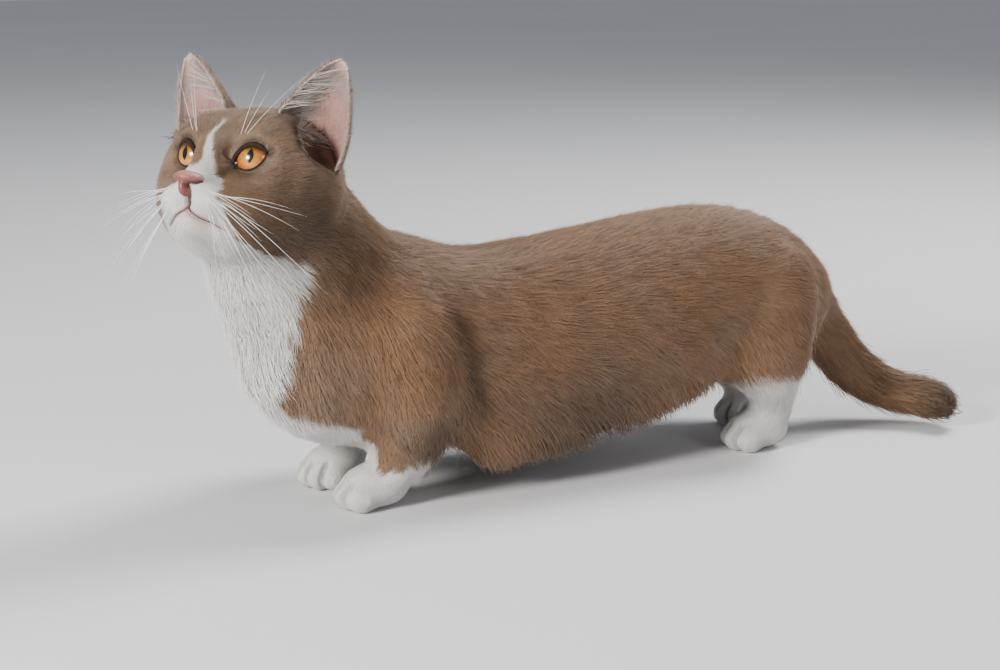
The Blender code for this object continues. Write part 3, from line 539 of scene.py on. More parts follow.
def distance_to_ear_hollows(points):
    """Distance to the hollows of the head at the roots of the ears."""
    found = np.full(len(points), 1.0)
    for side in (1, -1):
        middle = (Vector(EAR_INNER_BASE) + Vector(EAR_OUTER_BASE)) / 2 + Vector(EAR_HOLLOW[0])
        turn = np.array(Euler((math.radians(EAR_HOLLOW_TURN) * side, 0, 0)).to_matrix())
        away = (points - np.array(mirrored(middle, side))) @ turn
        found = np.minimum(found, ball_distance(away, EAR_HOLLOW[1]))
    return found


def distance_to_head(points):
    """Distance to the head's own form, with its sockets, lids and ear hollows."""
    skull = distance_to_balls(points, SKULL_MASSES, SKULL_BLEND)
    face = distance_to_balls(points, FACE_MASSES, FACE_BLEND)
    lid_radius = EYE_RADIUS + LID_THICKNESS
    lids = distance_to_balls(points, ((EYE_PLACE, (lid_radius,) * 3),), LID_BLEND)
    socket = distance_to_balls(points, (SOCKET,), LID_BLEND)
    hollowed = -blended(-blended(skull, face, FACE_BLEND), socket, SOCKET_BLEND)
    hollowed = -blended(-hollowed, distance_to_ear_hollows(points), EAR_HOLLOW_BLEND)
    return blended(hollowed, lids, LID_BLEND)


def surface_along(rays):
    """How far from the core of the head its surface lies along each ray."""
    core = np.array(HEAD_CORE)
    reach = np.full(len(rays), HEAD_REACH)
    for _ in range(HEAD_STEPS):
        reach -= HEAD_STRIDE * distance_to_head(core + rays * reach[:, None])
    return reach


def onto_head(points):
    """The points, in the head's axes, moved onto its surface."""
    away = np.array(points) - np.array(HEAD_CORE)
    rays = unit(away)
    return np.array(HEAD_CORE) + rays * surface_along(rays)[:, None]


def form_head(whole):
    """Moves the surface near the head onto the head's own form, fading out towards the neck."""
    core = np.array(HEAD_CORE)
    to_world = head_matrix()
    to_head = to_world.inverted()
    near = [v for v in whole.data.vertices if (to_head @ v.co - Vector(HEAD_CORE)).length < HEAD_REACH]
    away = np.array([to_head @ v.co for v in near]) - core
    old_reach = lengths_of(away)
    rays = away / old_reach[:, None]
    reach = surface_along(rays)
    direction = Vector(HEAD_CUT[1]).normalized()
    above = np.array([(v.co - Vector(HEAD_CUT[0])).dot(direction) for v in near])
    fade = np.where(reach > old_reach, NECK_FADES[0], NECK_FADES[1])
    share = np.clip(above / fade, 0, 1)
    new_reach = old_reach + (reach - old_reach) * share * share * (3 - 2 * share)
    for vertex, place in zip(near, core + rays * new_reach[:, None]):
        vertex.co = to_world @ Vector(place)


def object_from(bag, name, collection):
    """An object of the gathered mesh."""
    mesh = bpy.data.meshes.new(name)
    bag.to_mesh(mesh)
    bag.free()
    made = bpy.data.objects.new(name, mesh)
    collection.objects.link(made)
    return made


def apply_modifiers(piece):
    """Replaces the object's mesh by the one its modifiers make."""
    graph = bpy.context.evaluated_depsgraph_get()
    finished = bpy.data.meshes.new_from_object(piece.evaluated_get(graph))
    piece.modifiers.clear()
    piece.data = finished
    return piece


def remeshed(piece, voxel, smoothing):
    """The piece as one closed surface of even fineness, smoothed."""
    remesh = piece.modifiers.new("Remesh", "REMESH")
    remesh.mode = "VOXEL"
    remesh.voxel_size = voxel
    smooth = piece.modifiers.new("Smooth", "SMOOTH")
    smooth.iterations = smoothing
    return apply_modifiers(piece)


def paw_frame(place, turn, side):
    """At a paw's place on the floor, turned outwards with it."""
    turned_out = Matrix.Rotation(math.radians(turn) * side, 4, "Z")
    return Matrix.Translation((place[0], place[1] * side, 0)) @ turned_out


def paw_masses(bag, place, turn, side):
    """The balls of a palm and four toes."""
    frame = paw_frame(place, turn, side)
    ball(bag, (0, 0, PALM_HEIGHT), PALM_RADII, frame)
    for forward, outward in TOE_PLACES:
        ball(bag, (-forward, outward * side, TOE_HEIGHT), TOE_RADII, frame)


def eye_frame(side):
    """At the eye's centre, with the first axis along its gaze and the second to its outer corner."""
    turn = Matrix.Rotation(math.radians(EYE_GAZE_OUT) * side, 4, "Z")
    tilt = Matrix.Rotation(math.radians(EYE_TILT) * side, 4, "X")
    return head_matrix() @ Matrix.Translation(mirrored(EYE_PLACE, side)) @ turn @ tilt


def ear_point(across, up):
    """A point of the left ear's shell in the head's axes; across runs from -1 to 1 between its edges."""
    inner = Vector(EAR_INNER_BASE)
    outer = Vector(EAR_OUTER_BASE)
    tip = Vector(EAR_TIP)
    middle = (inner + outer) / 2
    edge = (outer - inner) / 2
    spine = tip - middle
    back = edge.cross(spine).normalized()
    if back.x > 0:
        back = -back
    narrowing = max(0.0, 1 - max(up, 0.0)) ** 0.62
    bulge = 1 + (0.22 if across > 0 else 0.02) * math.sin(math.pi * min(max(up, 0.0), 1.0))
    depth = EAR_CUP_DEPTH * narrowing * (1 - 0.35 * max(up, 0.0))
    hollow = math.sqrt(max(0.0, 1 - across * across))
    return middle + spine * up + edge * (across * narrowing * bulge) + back * (depth * hollow)


def soft(value, start, end):
    """0 at start, 1 at end and smooth between them, whichever is larger."""
    share = np.clip((value - start) / (end - start), 0.0, 1.0)
    return share * share * (3 - 2 * share)


def waves(points, length, seed, count=5):
    """Smooth noise between about -1 and 1 that swings over the given length."""
    draw = np.random.default_rng(seed)
    total = np.zeros(len(points))
    for _ in range(count):
        direction = draw.normal(size=3)
        direction *= 2 * math.pi / (length * np.linalg.norm(direction) * draw.uniform(0.7, 1.4))
        total += np.sin(points @ direction + draw.uniform(0, 2 * math.pi))
    return total / math.sqrt(count)


def steps_between(pairs, value):
    """Straight-line value from a table of (place, value) rows in rising order of place."""
    return np.interp(value, [row[0] for row in pairs], [row[1] for row in pairs])


def in_frame(points, matrix):
    """The points in the axes of the given frame."""
    inverse = np.array(matrix.inverted())
    return points @ inverse[:3, :3].T + inverse[:3, 3]


def out_of_frame(points, matrix):
    """The points, in the axes of the given frame, back in the world."""
    forward = np.array(matrix)
    return points @ forward[:3, :3].T + forward[:3, 3]


def above_cut(points):
    """Height over the plane where the head begins."""
    direction = np.array(Vector(HEAD_CUT[1]).normalized())
    return (points - np.array(HEAD_CUT[0])) @ direction


def beads_near(points, beads):
    """For each point, the nearest place on a line of beads, its distance, and the line's direction there."""
    line = np.array([bead[:3] for bead in stations_along(beads, 0.003)])
    nearest = np.full(len(points), 0)
    least = np.full(len(points), 9.0)
    for i, place in enumerate(line):
        away = lengths_of(points - place)
        nearest = np.where(away < least, i, nearest)
        least = np.minimum(away, least)
    direction = np.gradient(line, axis=0)
    direction = unit(direction)
    return nearest / (len(line) - 1), least, direction[nearest]


def eye_angles(points, side):
    """Longitude outwards and latitude upwards, in degrees, and distance from the eye's centre."""
    local = in_frame(points, eye_frame(side))
    reach = lengths_of(local)
    longitude = np.degrees(np.arctan2(local[:, 1] * side, local[:, 0]))
    latitude = np.degrees(np.arcsin(np.clip(local[:, 2] / np.maximum(reach, 1e-9), -1, 1)))
    return longitude, latitude, reach


def lid_edges(longitude):
    """Latitudes of the upper and lower edge of the eye's opening, and how far along it lies, -1 to 1."""
    inner, outer = EYE_CORNERS
    along = (longitude - (inner + outer) / 2) / ((outer - inner) / 2)
    line = EYE_CORNER_HEIGHTS[0] + (EYE_CORNER_HEIGHTS[1] - EYE_CORNER_HEIGHTS[0]) * (along + 1) / 2
    arch = np.maximum(1 - along * along, 0)
    return line + EYE_UPPER * arch ** EYE_UPPER_FULLNESS, line - EYE_LOWER * arch ** EYE_LOWER_FULLNESS, along


def inside_eye(points, side):
    """How far inside the eye's opening each point lies, in metres over the ball, less than 0 outside."""
    longitude, latitude, reach = eye_angles(points, side)
    upper, lower, along = lid_edges(longitude)
    inside = np.minimum(upper - latitude, latitude - lower)
    half = (EYE_CORNERS[1] - EYE_CORNERS[0]) / 2
    beyond = np.maximum(np.abs(along) - 1, 0) * half
    inside = np.where(beyond > 0, -np.hypot(beyond, inside), inside)
    inside = np.where(longitude > 100, -90, np.where(longitude < -100, -90, inside))
    return np.radians(inside) * EYE_RADIUS, reach


def distance_to_line(points, line):
    """Distance from each point to a line of points."""
    found = np.full(len(points), 9.0)
    for start, end in zip(line[:-1], line[1:]):
        span = end - start
        share = np.clip((points - start) @ span / (span @ span), 0, 1)
        found = np.minimum(found, lengths_of(points - (start + share[:, None] * span)))
    return found


def mouth_line():
    """The line of the mouth from one corner to the other, in the head's axes."""
    left = [np.array(mirrored(point, 1)) for point in stations_along(MOUTH_LINE, MOUTH_STEP)]
    right = [point * (1, -1, 1) for point in left[3:]]
    return onto_head(np.array(left)), onto_head(np.array(right))


def foot_masks(points):
    """How much each point belongs to a foreleg, a hind leg and a paw, 0 to 1."""
    fore = np.zeros(len(points))
    hind = np.zeros(len(points))
    paw = np.zeros(len(points))
    for side in (1, -1):
        for kind, beads, place, _ in leg_plans(side):
            low = [(x, y * side, z, r) for x, y, z, r in beads if z < 0.065]
            least = beads_near(points, low)[1]
            paw_place = np.array((place[0] - 0.004, place[1] * side, 0.008))
            on_paw = soft(lengths_of(points - paw_place), 0.03, 0.022)
            on_leg = soft(least, 0.027, 0.022) * soft(points[:, 2], 0.062, 0.05)
            both = np.maximum(on_leg, on_paw)
            if kind == "fore":
                fore = np.maximum(fore, both)
            else:
                hind = np.maximum(hind, both)
            paw = np.maximum(paw, on_paw * soft(points[:, 2], 0.026, 0.018))
    return fore, hind, paw


def white_share(points, fore, hind):
    """How white the coat is at each point, 0 to 1, with slightly ragged edges."""
    ragged = waves(points, 0.0065, 3) + 0.6 * waves(points, 0.0025, 4)
    angle = np.degrees(np.arctan2(np.abs(points[:, 1] - BIB_AXIS[1]), BIB_AXIS[0] - points[:, 0]))
    bib = soft(steps_between(BIB_EDGE, points[:, 2]) + 1.6 * ragged - angle, -2.5, 2.5)
    bib *= soft(-points[:, 0], 0.104, 0.112) * soft(fore, 0.65, 0.35)
    head = in_frame(points, head_matrix())
    forward, sideways, height = head[:, 0], np.abs(head[:, 1]), head[:, 2]
    pad = np.where(height > -0.026, steps_between(PAD_EDGE, height), 1.0)
    edge = np.minimum(steps_between(THROAT_EDGE, forward), pad)
    muzzle = soft(edge + 0.0007 * ragged - sideways, -0.001, 0.001)
    muzzle *= soft(steps_between(MUZZLE_TOP, forward) + 0.0006 * ragged - height, -0.0012, 0.0012)
    middle = steps_between(BLAZE, height)
    half = np.interp(height, [row[0] for row in BLAZE], [row[2] for row in BLAZE])
    blaze = soft(half + 0.0003 * ragged - np.abs(head[:, 1] - middle), -0.0006, 0.0006)
    blaze *= soft(forward, 0.021, 0.027) * soft(height, 0.0268, 0.024) * soft(height, -0.004, -0.001)
    on_head = soft(above_cut(points), -0.012, 0.0)
    bib *= 1 - on_head * soft(above_cut(points), 0.0, 0.006)
    white = np.maximum(bib, np.maximum(muzzle, blaze) * on_head)
    back_of_paw = soft(points[:, 0], -0.112, -0.09)
    fore_height = FORE_WHITE[0] + (FORE_WHITE[1] - FORE_WHITE[0]) * back_of_paw
    fore_height = fore_height + 0.03 * soft(np.abs(points[:, 1]), 0.03, 0.023)
    fore_white = soft(fore_height + 0.0012 * ragged - points[:, 2], -0.0012, 0.0012) * fore
    hind_white = soft(HIND_WHITE + 0.0016 * ragged - points[:, 2], -0.0022, 0.0022) * hind
    return np.maximum(np.maximum(white, fore_white), hind_white)


def along_ear_base(head, side):
    """How far outwards along the ear's base each point lies from its middle."""
    inner, outer = (np.array(end) * (1, side, 1) for end in (EAR_INNER_BASE, EAR_OUTER_BASE))
    return (head - (inner + outer) / 2) @ (outer - inner) / np.linalg.norm(outer - inner)


def in_ear_hollow(head, side):
    """How far each point, in the head's axes, lies in the bare depth of an ear, 0 to 1."""
    inside = soft(distance_to_ear_hollows(head), 0.0016, 0.0004)
    return inside * soft(along_ear_base(head, side), -0.0035, 0.001)


def shade_share(points):
    """How much darker the coat is at each point, 0 to 1: its own darker marks round and below the eyes, on
    the brow and at the tail's end, and painted shade on the cheek, neck, flank and elbow, in the shoulder's
    crease, the ear hollows and the toes' clefts.
    """
    shade = np.zeros(len(points))
    outwards = np.stack((points[:, 0], np.abs(points[:, 1]), points[:, 2]), axis=1)
    # Painted shade on the cheek, the neck's side, low on the flank and between belly and thigh; at the elbow
    # partly so.
    for centre, radius, strength in SHADES:
        away = lengths_of(outwards - np.array(centre)) / radius
        shade = np.maximum(shade, strength * soft(away, 1.25, 0.3))
    # Painted shade along the crease behind the shoulder.
    crease = distance_to_line(outwards, np.array(CREASE_LINE))
    shade = np.maximum(shade, 0.55 * soft(crease, 0.0075, 0.001))
    tail, away, _ = beads_near(points, TAIL_BEADS)
    on_tail = soft(away, 0.03, 0.024) * soft(points[:, 0], 0.165, 0.18)
    shade = np.maximum(shade, on_tail * 0.8 * soft(tail, 0.7, 0.93))
    head = in_frame(points, head_matrix())
    for side in (1, -1):
        depth, reach = inside_eye(points, side)
        rim = soft(-depth, 0.0026, 0.0006) * soft(reach, 0.0165, 0.0135)
        shade = np.maximum(shade, 0.85 * rim)
        tear = distance_to_line(head, np.array(TEAR_LINE) * (1, side, 1))
        shade = np.maximum(shade, 0.55 * soft(tear, 0.003, 0.0008))
        # Painted shade in the hollow at each ear's root.
        shade = np.maximum(shade, 0.75 * in_ear_hollow(head, side))
        tick = distance_to_line(head, np.array(BROW_TICK) * (1, side, 1))
        shade = np.maximum(shade, 0.35 * soft(tick, 0.0032, 0.001))
    # Painted shade in the clefts between the toes.
    for matrix, side in paw_frames():
        shade = np.maximum(shade, 0.75 * cleft_share(in_frame(points, matrix), side))
    return shade


def marks_at(points):
    """White, shade and warmth of the coat at each point, the same for skin and coat."""
    fore, hind, _ = foot_masks(points)
    white = white_share(points, fore, hind)
    shade = shade_share(points)
    warm = 0.75 + 0.16 * waves(points, 0.04, 11)
    outwards = np.stack((points[:, 0], np.abs(points[:, 1]), points[:, 2]), axis=1)
    for centre, radius in GREY_PLACES:
        away = lengths_of(outwards - np.array(centre)) / radius
        warm -= 0.65 * soft(away, 1.3, 0.3)
    warm -= 0.5 * soft(above_cut(points), -0.02, 0.01)
    return np.stack((white, shade, np.clip(warm, 0, 1)), axis=1)


def read_mesh(piece):
    """Vertices (before centring), normals, triangles and their corners' UVs, as arrays."""
    mesh = piece.data
    mesh.calc_loop_triangles()
    triangles = np.empty(len(mesh.loop_triangles) * 3, dtype=np.int32)
    mesh.loop_triangles.foreach_get("vertices", triangles)
    loops = np.empty(len(mesh.loop_triangles) * 3, dtype=np.int32)
    mesh.loop_triangles.foreach_get("loops", loops)
    layer = mesh.uv_layers.get("OFBake")
    uv = np.zeros(len(mesh.loops) * 2)
    if layer:
        layer.uv.foreach_get("vector", uv)
    return {
        "places": places_of(mesh) - np.array(CENTRING), "normals": vectors_of(mesh.vertex_normals, "vector"),
        "triangles": triangles.reshape(-1, 3), "uv": uv.reshape(-1, 2)[loops].reshape(-1, 3, 2),
    }


def write_vectors(mesh, name, values):
    """Stores a vector for each vertex, for the materials to read."""
    layer = mesh.attributes.get(name) or mesh.attributes.new(name, "FLOAT_VECTOR", "POINT")
    layer.data.foreach_set("vector", np.ascontiguousarray(values, dtype=np.float32).ravel())


def finer(bag, chosen):
    """Splits each chosen face into four."""
    edges = list({edge for face in chosen for edge in face.edges})
    bmesh.ops.subdivide_edges(bag, edges=edges, cuts=1, use_grid_fill=True)


def face_places(bag):
    """Middles of the mesh's faces: in the world, and in the head's axes."""
    middles = np.array([face.calc_center_median() for face in bag.faces])
    return middles, in_frame(middles, head_matrix())


def refine_skin(piece):
    """More faces on the head and paws, more still on the face, and most round the eyes, nose and mouth."""
    bag = bmesh.new()
    bag.from_mesh(piece.data)
    core = np.array(HEAD_CORE)
    for level in range(3):
        middles, head = face_places(bag)
        rays = head - core
        near = lengths_of(rays) < FINE_REACH
        rays = unit(rays)
        if level == 0:
            chosen = near & (above_cut(middles) > -0.004)
            chosen |= foot_masks(middles)[2] > 0.3
        elif level == 1:
            chosen = (rays[:, 0] > 0.4) & (above_cut(middles) > 0) & near
            for matrix, _ in paw_frames():
                local = in_frame(middles, matrix)
                toes = (-local[:, 0] > 0.002) & (-local[:, 0] < 0.03)
                chosen |= toes & (np.abs(local[:, 1]) < 0.02) & (local[:, 2] < 0.016)
        else:
            chosen = np.zeros(len(middles), dtype=bool)
            for side in (1, -1):
                eye = np.array((0.0285, 0.0185 * side, 0.011)) - core
                chosen |= rays @ (eye / np.linalg.norm(eye)) > math.cos(math.radians(19))
            mouth = np.array((0.043, 0.0, -0.011)) - core
            chosen |= rays @ (mouth / np.linalg.norm(mouth)) > math.cos(math.radians(22))
            chosen &= (above_cut(middles) > 0) & near
        bag.faces.ensure_lookup_table()
        finer(bag, [bag.faces[i] for i in np.flatnonzero(chosen)])
    bag.to_mesh(piece.data)
    bag.free()


def coat_depth(points):
    """How deep the skin lies under the tips of the coat at each point."""
    fore, hind, paw = foot_masks(points)
    head = in_frame(points, head_matrix())
    depth = np.full(len(points), COAT_DEPTHS["body"])
    neck = soft(above_cut(points), -0.03, -0.01)
    depth += (COAT_DEPTHS["neck"] - depth) * neck
    depth += (COAT_DEPTHS["leg"] - depth) * np.maximum(fore, hind)
    depth += (COAT_DEPTHS["paw"] - depth) * paw
    core = soft(points[:, 2], 0.04, 0.028) * (1 - np.maximum(fore, hind))
    core = np.maximum(core, soft(points[:, 0], 0.16, 0.18))
    angle = np.degrees(np.arctan2(np.abs(points[:, 1] - BIB_AXIS[1]), BIB_AXIS[0] - points[:, 0]))
    bib = soft(angle, 60, 45) * soft(-points[:, 0], 0.12, 0.14) * soft(points[:, 2], 0.125, 0.11)
    core = np.maximum(core, bib)
    depth += (COAT_DEPTHS["core"] - depth) * core
    on_head = soft(above_cut(points), -0.006, 0.01)
    depth += (COAT_DEPTHS["head"] - depth) * on_head
    muzzle = soft(head[:, 0], 0.026, 0.04) * on_head
    depth *= 1 - 0.55 * muzzle
    for side in (1, -1):
        inside, reach = inside_eye(points, side)
        depth *= 1 - 0.9 * soft(-inside, 0.006, 0.001) * (reach < 0.018)
    return depth


def seat_eyes(places):
    """Opens the lids: the skin inside the almond sinks behind the ball, and the lids thin out towards it."""
    for side in (1, -1):
        matrix = eye_frame(side)
        local = in_frame(places, matrix)
        inside, reach = inside_eye(places, side)
        near = reach < 0.019
        rays = local / np.maximum(reach, 1e-9)[:, None]
        hidden = EYE_RADIUS - 0.0012
        lid = EYE_RADIUS + 0.0005
        thinning = soft(-inside, 0.0, 0.0034)
        outer = lid + np.maximum(reach - lid, 0) * thinning
        target = np.where(inside > 0, hidden, outer)
        corner = soft(reach, 0.0118, 0.0132) * (inside > 0)
        target = target + (np.maximum(reach - 0.0026, hidden) - target) * corner
        local = np.where(near[:, None], rays * np.where(near, target, reach)[:, None], local)
        places = out_of_frame(local, matrix)
    return places


def press_mouth(places):
    """A groove along the line of the mouth, and a smaller one up to the nose."""
    head = in_frame(places, head_matrix())
    left, right = mouth_line()
    away = np.minimum(distance_to_line(head, left), distance_to_line(head, right))
    core = np.array(HEAD_CORE)
    rays = head - core
    rays = unit(rays)
    chin = soft(head[:, 2], -0.019, -0.024) * soft(head[:, 0], 0.03, 0.038)
    chin *= soft(np.abs(head[:, 1]), 0.01, 0.004)
    head = head - rays * (0.0013 * soft(away, 0.0019, 0.0003) + 0.0005 * chin)[:, None]
    return out_of_frame(head, head_matrix())


def paw_frames():
    """Frame and side of each paw."""
    found = []
    for side in (1, -1):
        for _, _, place, turn in leg_plans(side):
            found.append((paw_frame(place, turn, side), side))
    return found


def cleft_share(local, side):
    """How deep each point, in a paw's frame, lies in a cleft between toes, 0 to 1."""
    forward, outward, height = -local[:, 0], local[:, 1] * side, local[:, 2]
    near = (forward > -0.004) & (forward < 0.03) & (np.abs(outward) < 0.022) & (height < 0.019)
    cleft = np.zeros(len(local))
    for first, second in zip(TOE_PLACES, TOE_PLACES[1:]):
        middle = ((first[0] + second[0]) / 2, (first[1] + second[1]) / 2)
        line = middle[1] + (forward - middle[0]) * middle[1] * 0.35 / 0.02
        here = soft(np.abs(outward - line), 0.0019, 0.0002)
        here *= soft(forward, middle[0] - 0.004, middle[0] + 0.004) * soft(height, 0.0165, 0.012)
        cleft = np.maximum(cleft, here)
    return cleft * near


def part_toes(places):
    """Clefts between the toes of each paw."""
    for matrix, side in paw_frames():
        local = in_frame(places, matrix)
        rays = local - np.array((-0.002, 0.0, 0.006))
        rays /= np.maximum(lengths_of(rays), 1e-9)[:, None]
        places = out_of_frame(local - rays * (0.0022 * cleft_share(local, side))[:, None], matrix)
    return places


def flesh_form():
    """The whole animal as one closed surface out to the tips of the short coat."""
    bag = bmesh.new()
    trunk(bag)
    string_of_beads(bag, NECK_BEADS)
    string_of_beads(bag, TAIL_BEADS)
    skull_masses(bag)
    for side in (1, -1):
        belly(bag, side)
        for _, beads, _, _ in leg_plans(side):
            string_of_beads(bag, beads, side)
    broad = remeshed(object_from(bag, "skin", bpy.context.scene.collection), BROAD_VOXEL, BROAD_SMOOTHING)
    bag = bmesh.new()
    bag.from_mesh(broad.data)
    for side in (1, -1):
        for _, _, place, turn in leg_plans(side):
            paw_masses(bag, place, turn, side)
    bag.to_mesh(broad.data)
    bag.free()
    return remeshed(broad, FLESH_VOXEL, FLESH_SMOOTHING)


def vectors_of(values, name):
    """One vector of each vertex, normal or stored value, as rows."""
    found = np.empty(len(values) * 3)
    values.foreach_get(name, found)
    return found.reshape(-1, 3)


def places_of(mesh):
    """Where the mesh's vertices are."""
    return vectors_of(mesh.vertices, "co")


def move_to(mesh, places):
    """Moves the mesh's vertices."""
    mesh.vertices.foreach_set("co", np.ascontiguousarray(places, dtype=np.float32).ravel())
    mesh.update()


def unwrapped(piece):
    """An unwrap of the piece's own shape, in the map that the coat's tufts take their places from."""
    piece.data.uv_layers.new(name="OFBake")
    bpy.context.view_layer.objects.active = piece
    for other in bpy.context.selected_objects:
        other.select_set(False)
    piece.select_set(True)
    bpy.ops.object.mode_set(mode="EDIT")
    bpy.ops.mesh.select_all(action="SELECT")
    bpy.ops.uv.smart_project(angle_limit=math.radians(62), island_margin=0.002)
    bpy.ops.object.mode_set(mode="OBJECT")
    piece.select_set(False)


def finished(piece, slot, *nodes):
    """Centres the piece, rides it on the still body, and hides the nodes that it stands for; its slot is not
    used.
    """
    piece.data.transform(Matrix.Translation(CENTRING))
    piece.data.shade_smooth()
    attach(piece, "root")
    if nodes:
        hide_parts(*nodes)
    return piece


def bare_skin(places):
    """What the skin shows of bare pink: the lips, the eye's corner and the roots of the ears."""
    head = in_frame(places, head_matrix())
    left, right = mouth_line()
    away = np.minimum(distance_to_line(head, left), distance_to_line(head, right))
    pink = 0.75 * soft(away, 0.0026, 0.001)
    for side in (1, -1):
        from_corner = lengths_of(head - np.array((0.0298, 0.0095 * side, 0.0064)))
        pink = np.maximum(pink, 0.8 * soft(from_corner, 0.0026, 0.0012) * (inside_eye(places, side)[0] > 0))
        pink = np.maximum(pink, 0.85 * in_ear_hollow(head, side))
    chin = soft(head[:, 2], -0.015, -0.02) * soft(head[:, 0], 0.034, 0.04)
    pink = np.maximum(pink, 0.35 * chin)
    return np.stack((np.full(len(places), 0.25), np.full(len(places), 0.4), pink), axis=1)


def set_inputs(node, *pairs):
    """Sets a node's inputs, by name."""
    for name, value in pairs:
        node.inputs[name].default_value = value


def new_material(name, roughness):
    """A node material, its tree and its shader."""
    made = bpy.data.materials.new(name)
    made.use_nodes = True
    shader = made.node_tree.nodes["Principled BSDF"]
    shader.inputs["Roughness"].default_value = roughness
    return made, made.node_tree, shader


def reading(tree, name):
    """The three numbers of a stored vector, one socket each."""
    stored = tree.nodes.new("ShaderNodeAttribute")
    stored.attribute_name = name
    parts = tree.nodes.new("ShaderNodeSeparateXYZ")
    tree.links.new(stored.outputs["Vector"], parts.inputs[0])
    return parts.outputs


def fed(tree, socket, value):
    """Links a socket to another socket, or sets it to a number or colour."""
    if isinstance(value, bpy.types.NodeSocket):
        tree.links.new(value, socket)
    elif hasattr(value, "__len__"):
        socket.default_value = (*value, 1.0)[:len(socket.default_value)]
    else:
        socket.default_value = value


def figured(tree, kind, *values, clamped=False):
    """One step of arithmetic."""
    step = tree.nodes.new("ShaderNodeMath")
    step.operation = kind
    step.use_clamp = clamped
    for socket, value in zip(step.inputs, values):
        fed(tree, socket, value)
    return step.outputs[0]


def ranged(tree, value, start, end, low, high, smooth=False):
    """The value taken from one range to another, held at the ends."""
    step = tree.nodes.new("ShaderNodeMapRange")
    step.interpolation_type = "SMOOTHSTEP" if smooth else "LINEAR"
    for socket, number in zip(step.inputs, (value, start, end, low, high)):
        fed(tree, socket, number)
    return step.outputs[0]


def mixed(tree, share, one, other):
    """Two colours mixed by a share."""
    step = tree.nodes.new("ShaderNodeMix")
    step.data_type = "RGBA"
    fed(tree, step.inputs[0], share)
    fed(tree, step.inputs[6], one)
    fed(tree, step.inputs[7], other)
    return step.outputs[2]


def dimmed(tree, colour, share):
    """The colour times a number."""
    step = tree.nodes.new("ShaderNodeVectorMath")
    step.operation = "SCALE"
    fed(tree, step.inputs[0], colour)
    fed(tree, step.inputs["Scale"], share)
    return step.outputs[0]


def noise(tree, scale, detail=2.0, roughness=0.5, vector=None):
    """Noise in the object's own coordinates, or in those given."""
    step = tree.nodes.new("ShaderNodeTexNoise")
    set_inputs(step, ("Scale", scale), ("Detail", detail), ("Roughness", roughness))
    if vector is None:
        vector = tree.nodes.new("ShaderNodeTexCoord").outputs["Object"]
    tree.links.new(vector, step.inputs["Vector"])
    return step.outputs["Fac"]


def coloured(tree, shader, colour):
    """Gives the shader its colour."""
    tree.links.new(colour, shader.inputs["Base Color"])


def bumped(tree, shader, height, strength, distance):
    """Gives the shader's surface fine relief."""
    step = tree.nodes.new("ShaderNodeBump")
    set_inputs(step, ("Strength", strength), ("Distance", distance))
    tree.links.new(height, step.inputs["Height"])
    tree.links.new(step.outputs["Normal"], shader.inputs["Normal"])


def coat_material(name, colours, is_skin):
    """Fur, or the skin under it: fawn, white and bare pink by the marks stored on the mesh, darkened by their
    shade, which is partly darker marks and partly painted shade.
    """
    made, tree, shader = new_material(name, 0.62 if is_skin else 0.56)
    white, shade, warm = reading(tree, "marks")
    along, chance, pink = reading(tree, "strand")
    mottle = noise(tree, 55.0, 3.0, 0.55)
    grain = noise(tree, 900.0, 2.0, 0.6)
    warmth = figured(tree, "ADD", warm, ranged(tree, mottle, 0.3, 0.7, -0.22, 0.22), clamped=True)
    fawn = mixed(tree, warmth, colours.cool_fawn, colours.warm_fawn)
    ramp = ranged(tree, along, 0.0, 1.0, *COAT_RAMP)
    luck = ranged(tree, chance, 0.0, 1.0, *COAT_LUCK)
    fawn = dimmed(tree, fawn, figured(tree, "MULTIPLY", ramp, luck))
    # The stored shade darkens the fawn: darker marks, and painted shade in creases, clefts, hollows and on
    # the cheek.
    fawn = dimmed(tree, fawn, ranged(tree, shade, 0.0, 1.0, 1.0, 0.18))
    fawn = dimmed(tree, fawn, ranged(tree, grain, 0.25, 0.75, 0.9, 1.1))
    pale = dimmed(tree, colours.white, ranged(tree, along, 0.0, 1.0, *WHITE_RAMP))
    pale = dimmed(tree, pale, ranged(tree, chance, 0.0, 1.0, 0.78, 1.14))
    # Painted shade and darker marks dim the white too.
    pale = dimmed(tree, pale, ranged(tree, shade, 0.0, 1.0, 1.0, 0.35))
    coat = mixed(tree, white, fawn, pale)
    flushed = dimmed(tree, colours.pink, ranged(tree, mottle, 0.3, 0.7, 0.88, 1.12))
    # Painted shade and darker marks dim the bare pink too.
    flushed = dimmed(tree, flushed, ranged(tree, shade, 0.0, 1.0, 1.0, 0.25))
    coloured(tree, shader, mixed(tree, pink, coat, flushed))
    set_inputs(shader, ("Specular IOR Level", 0.22), ("Sheen Weight", 0.12), ("Sheen Roughness", 0.45))
    if is_skin:
        bumped(tree, shader, grain, 0.5, 0.0004)
    return made


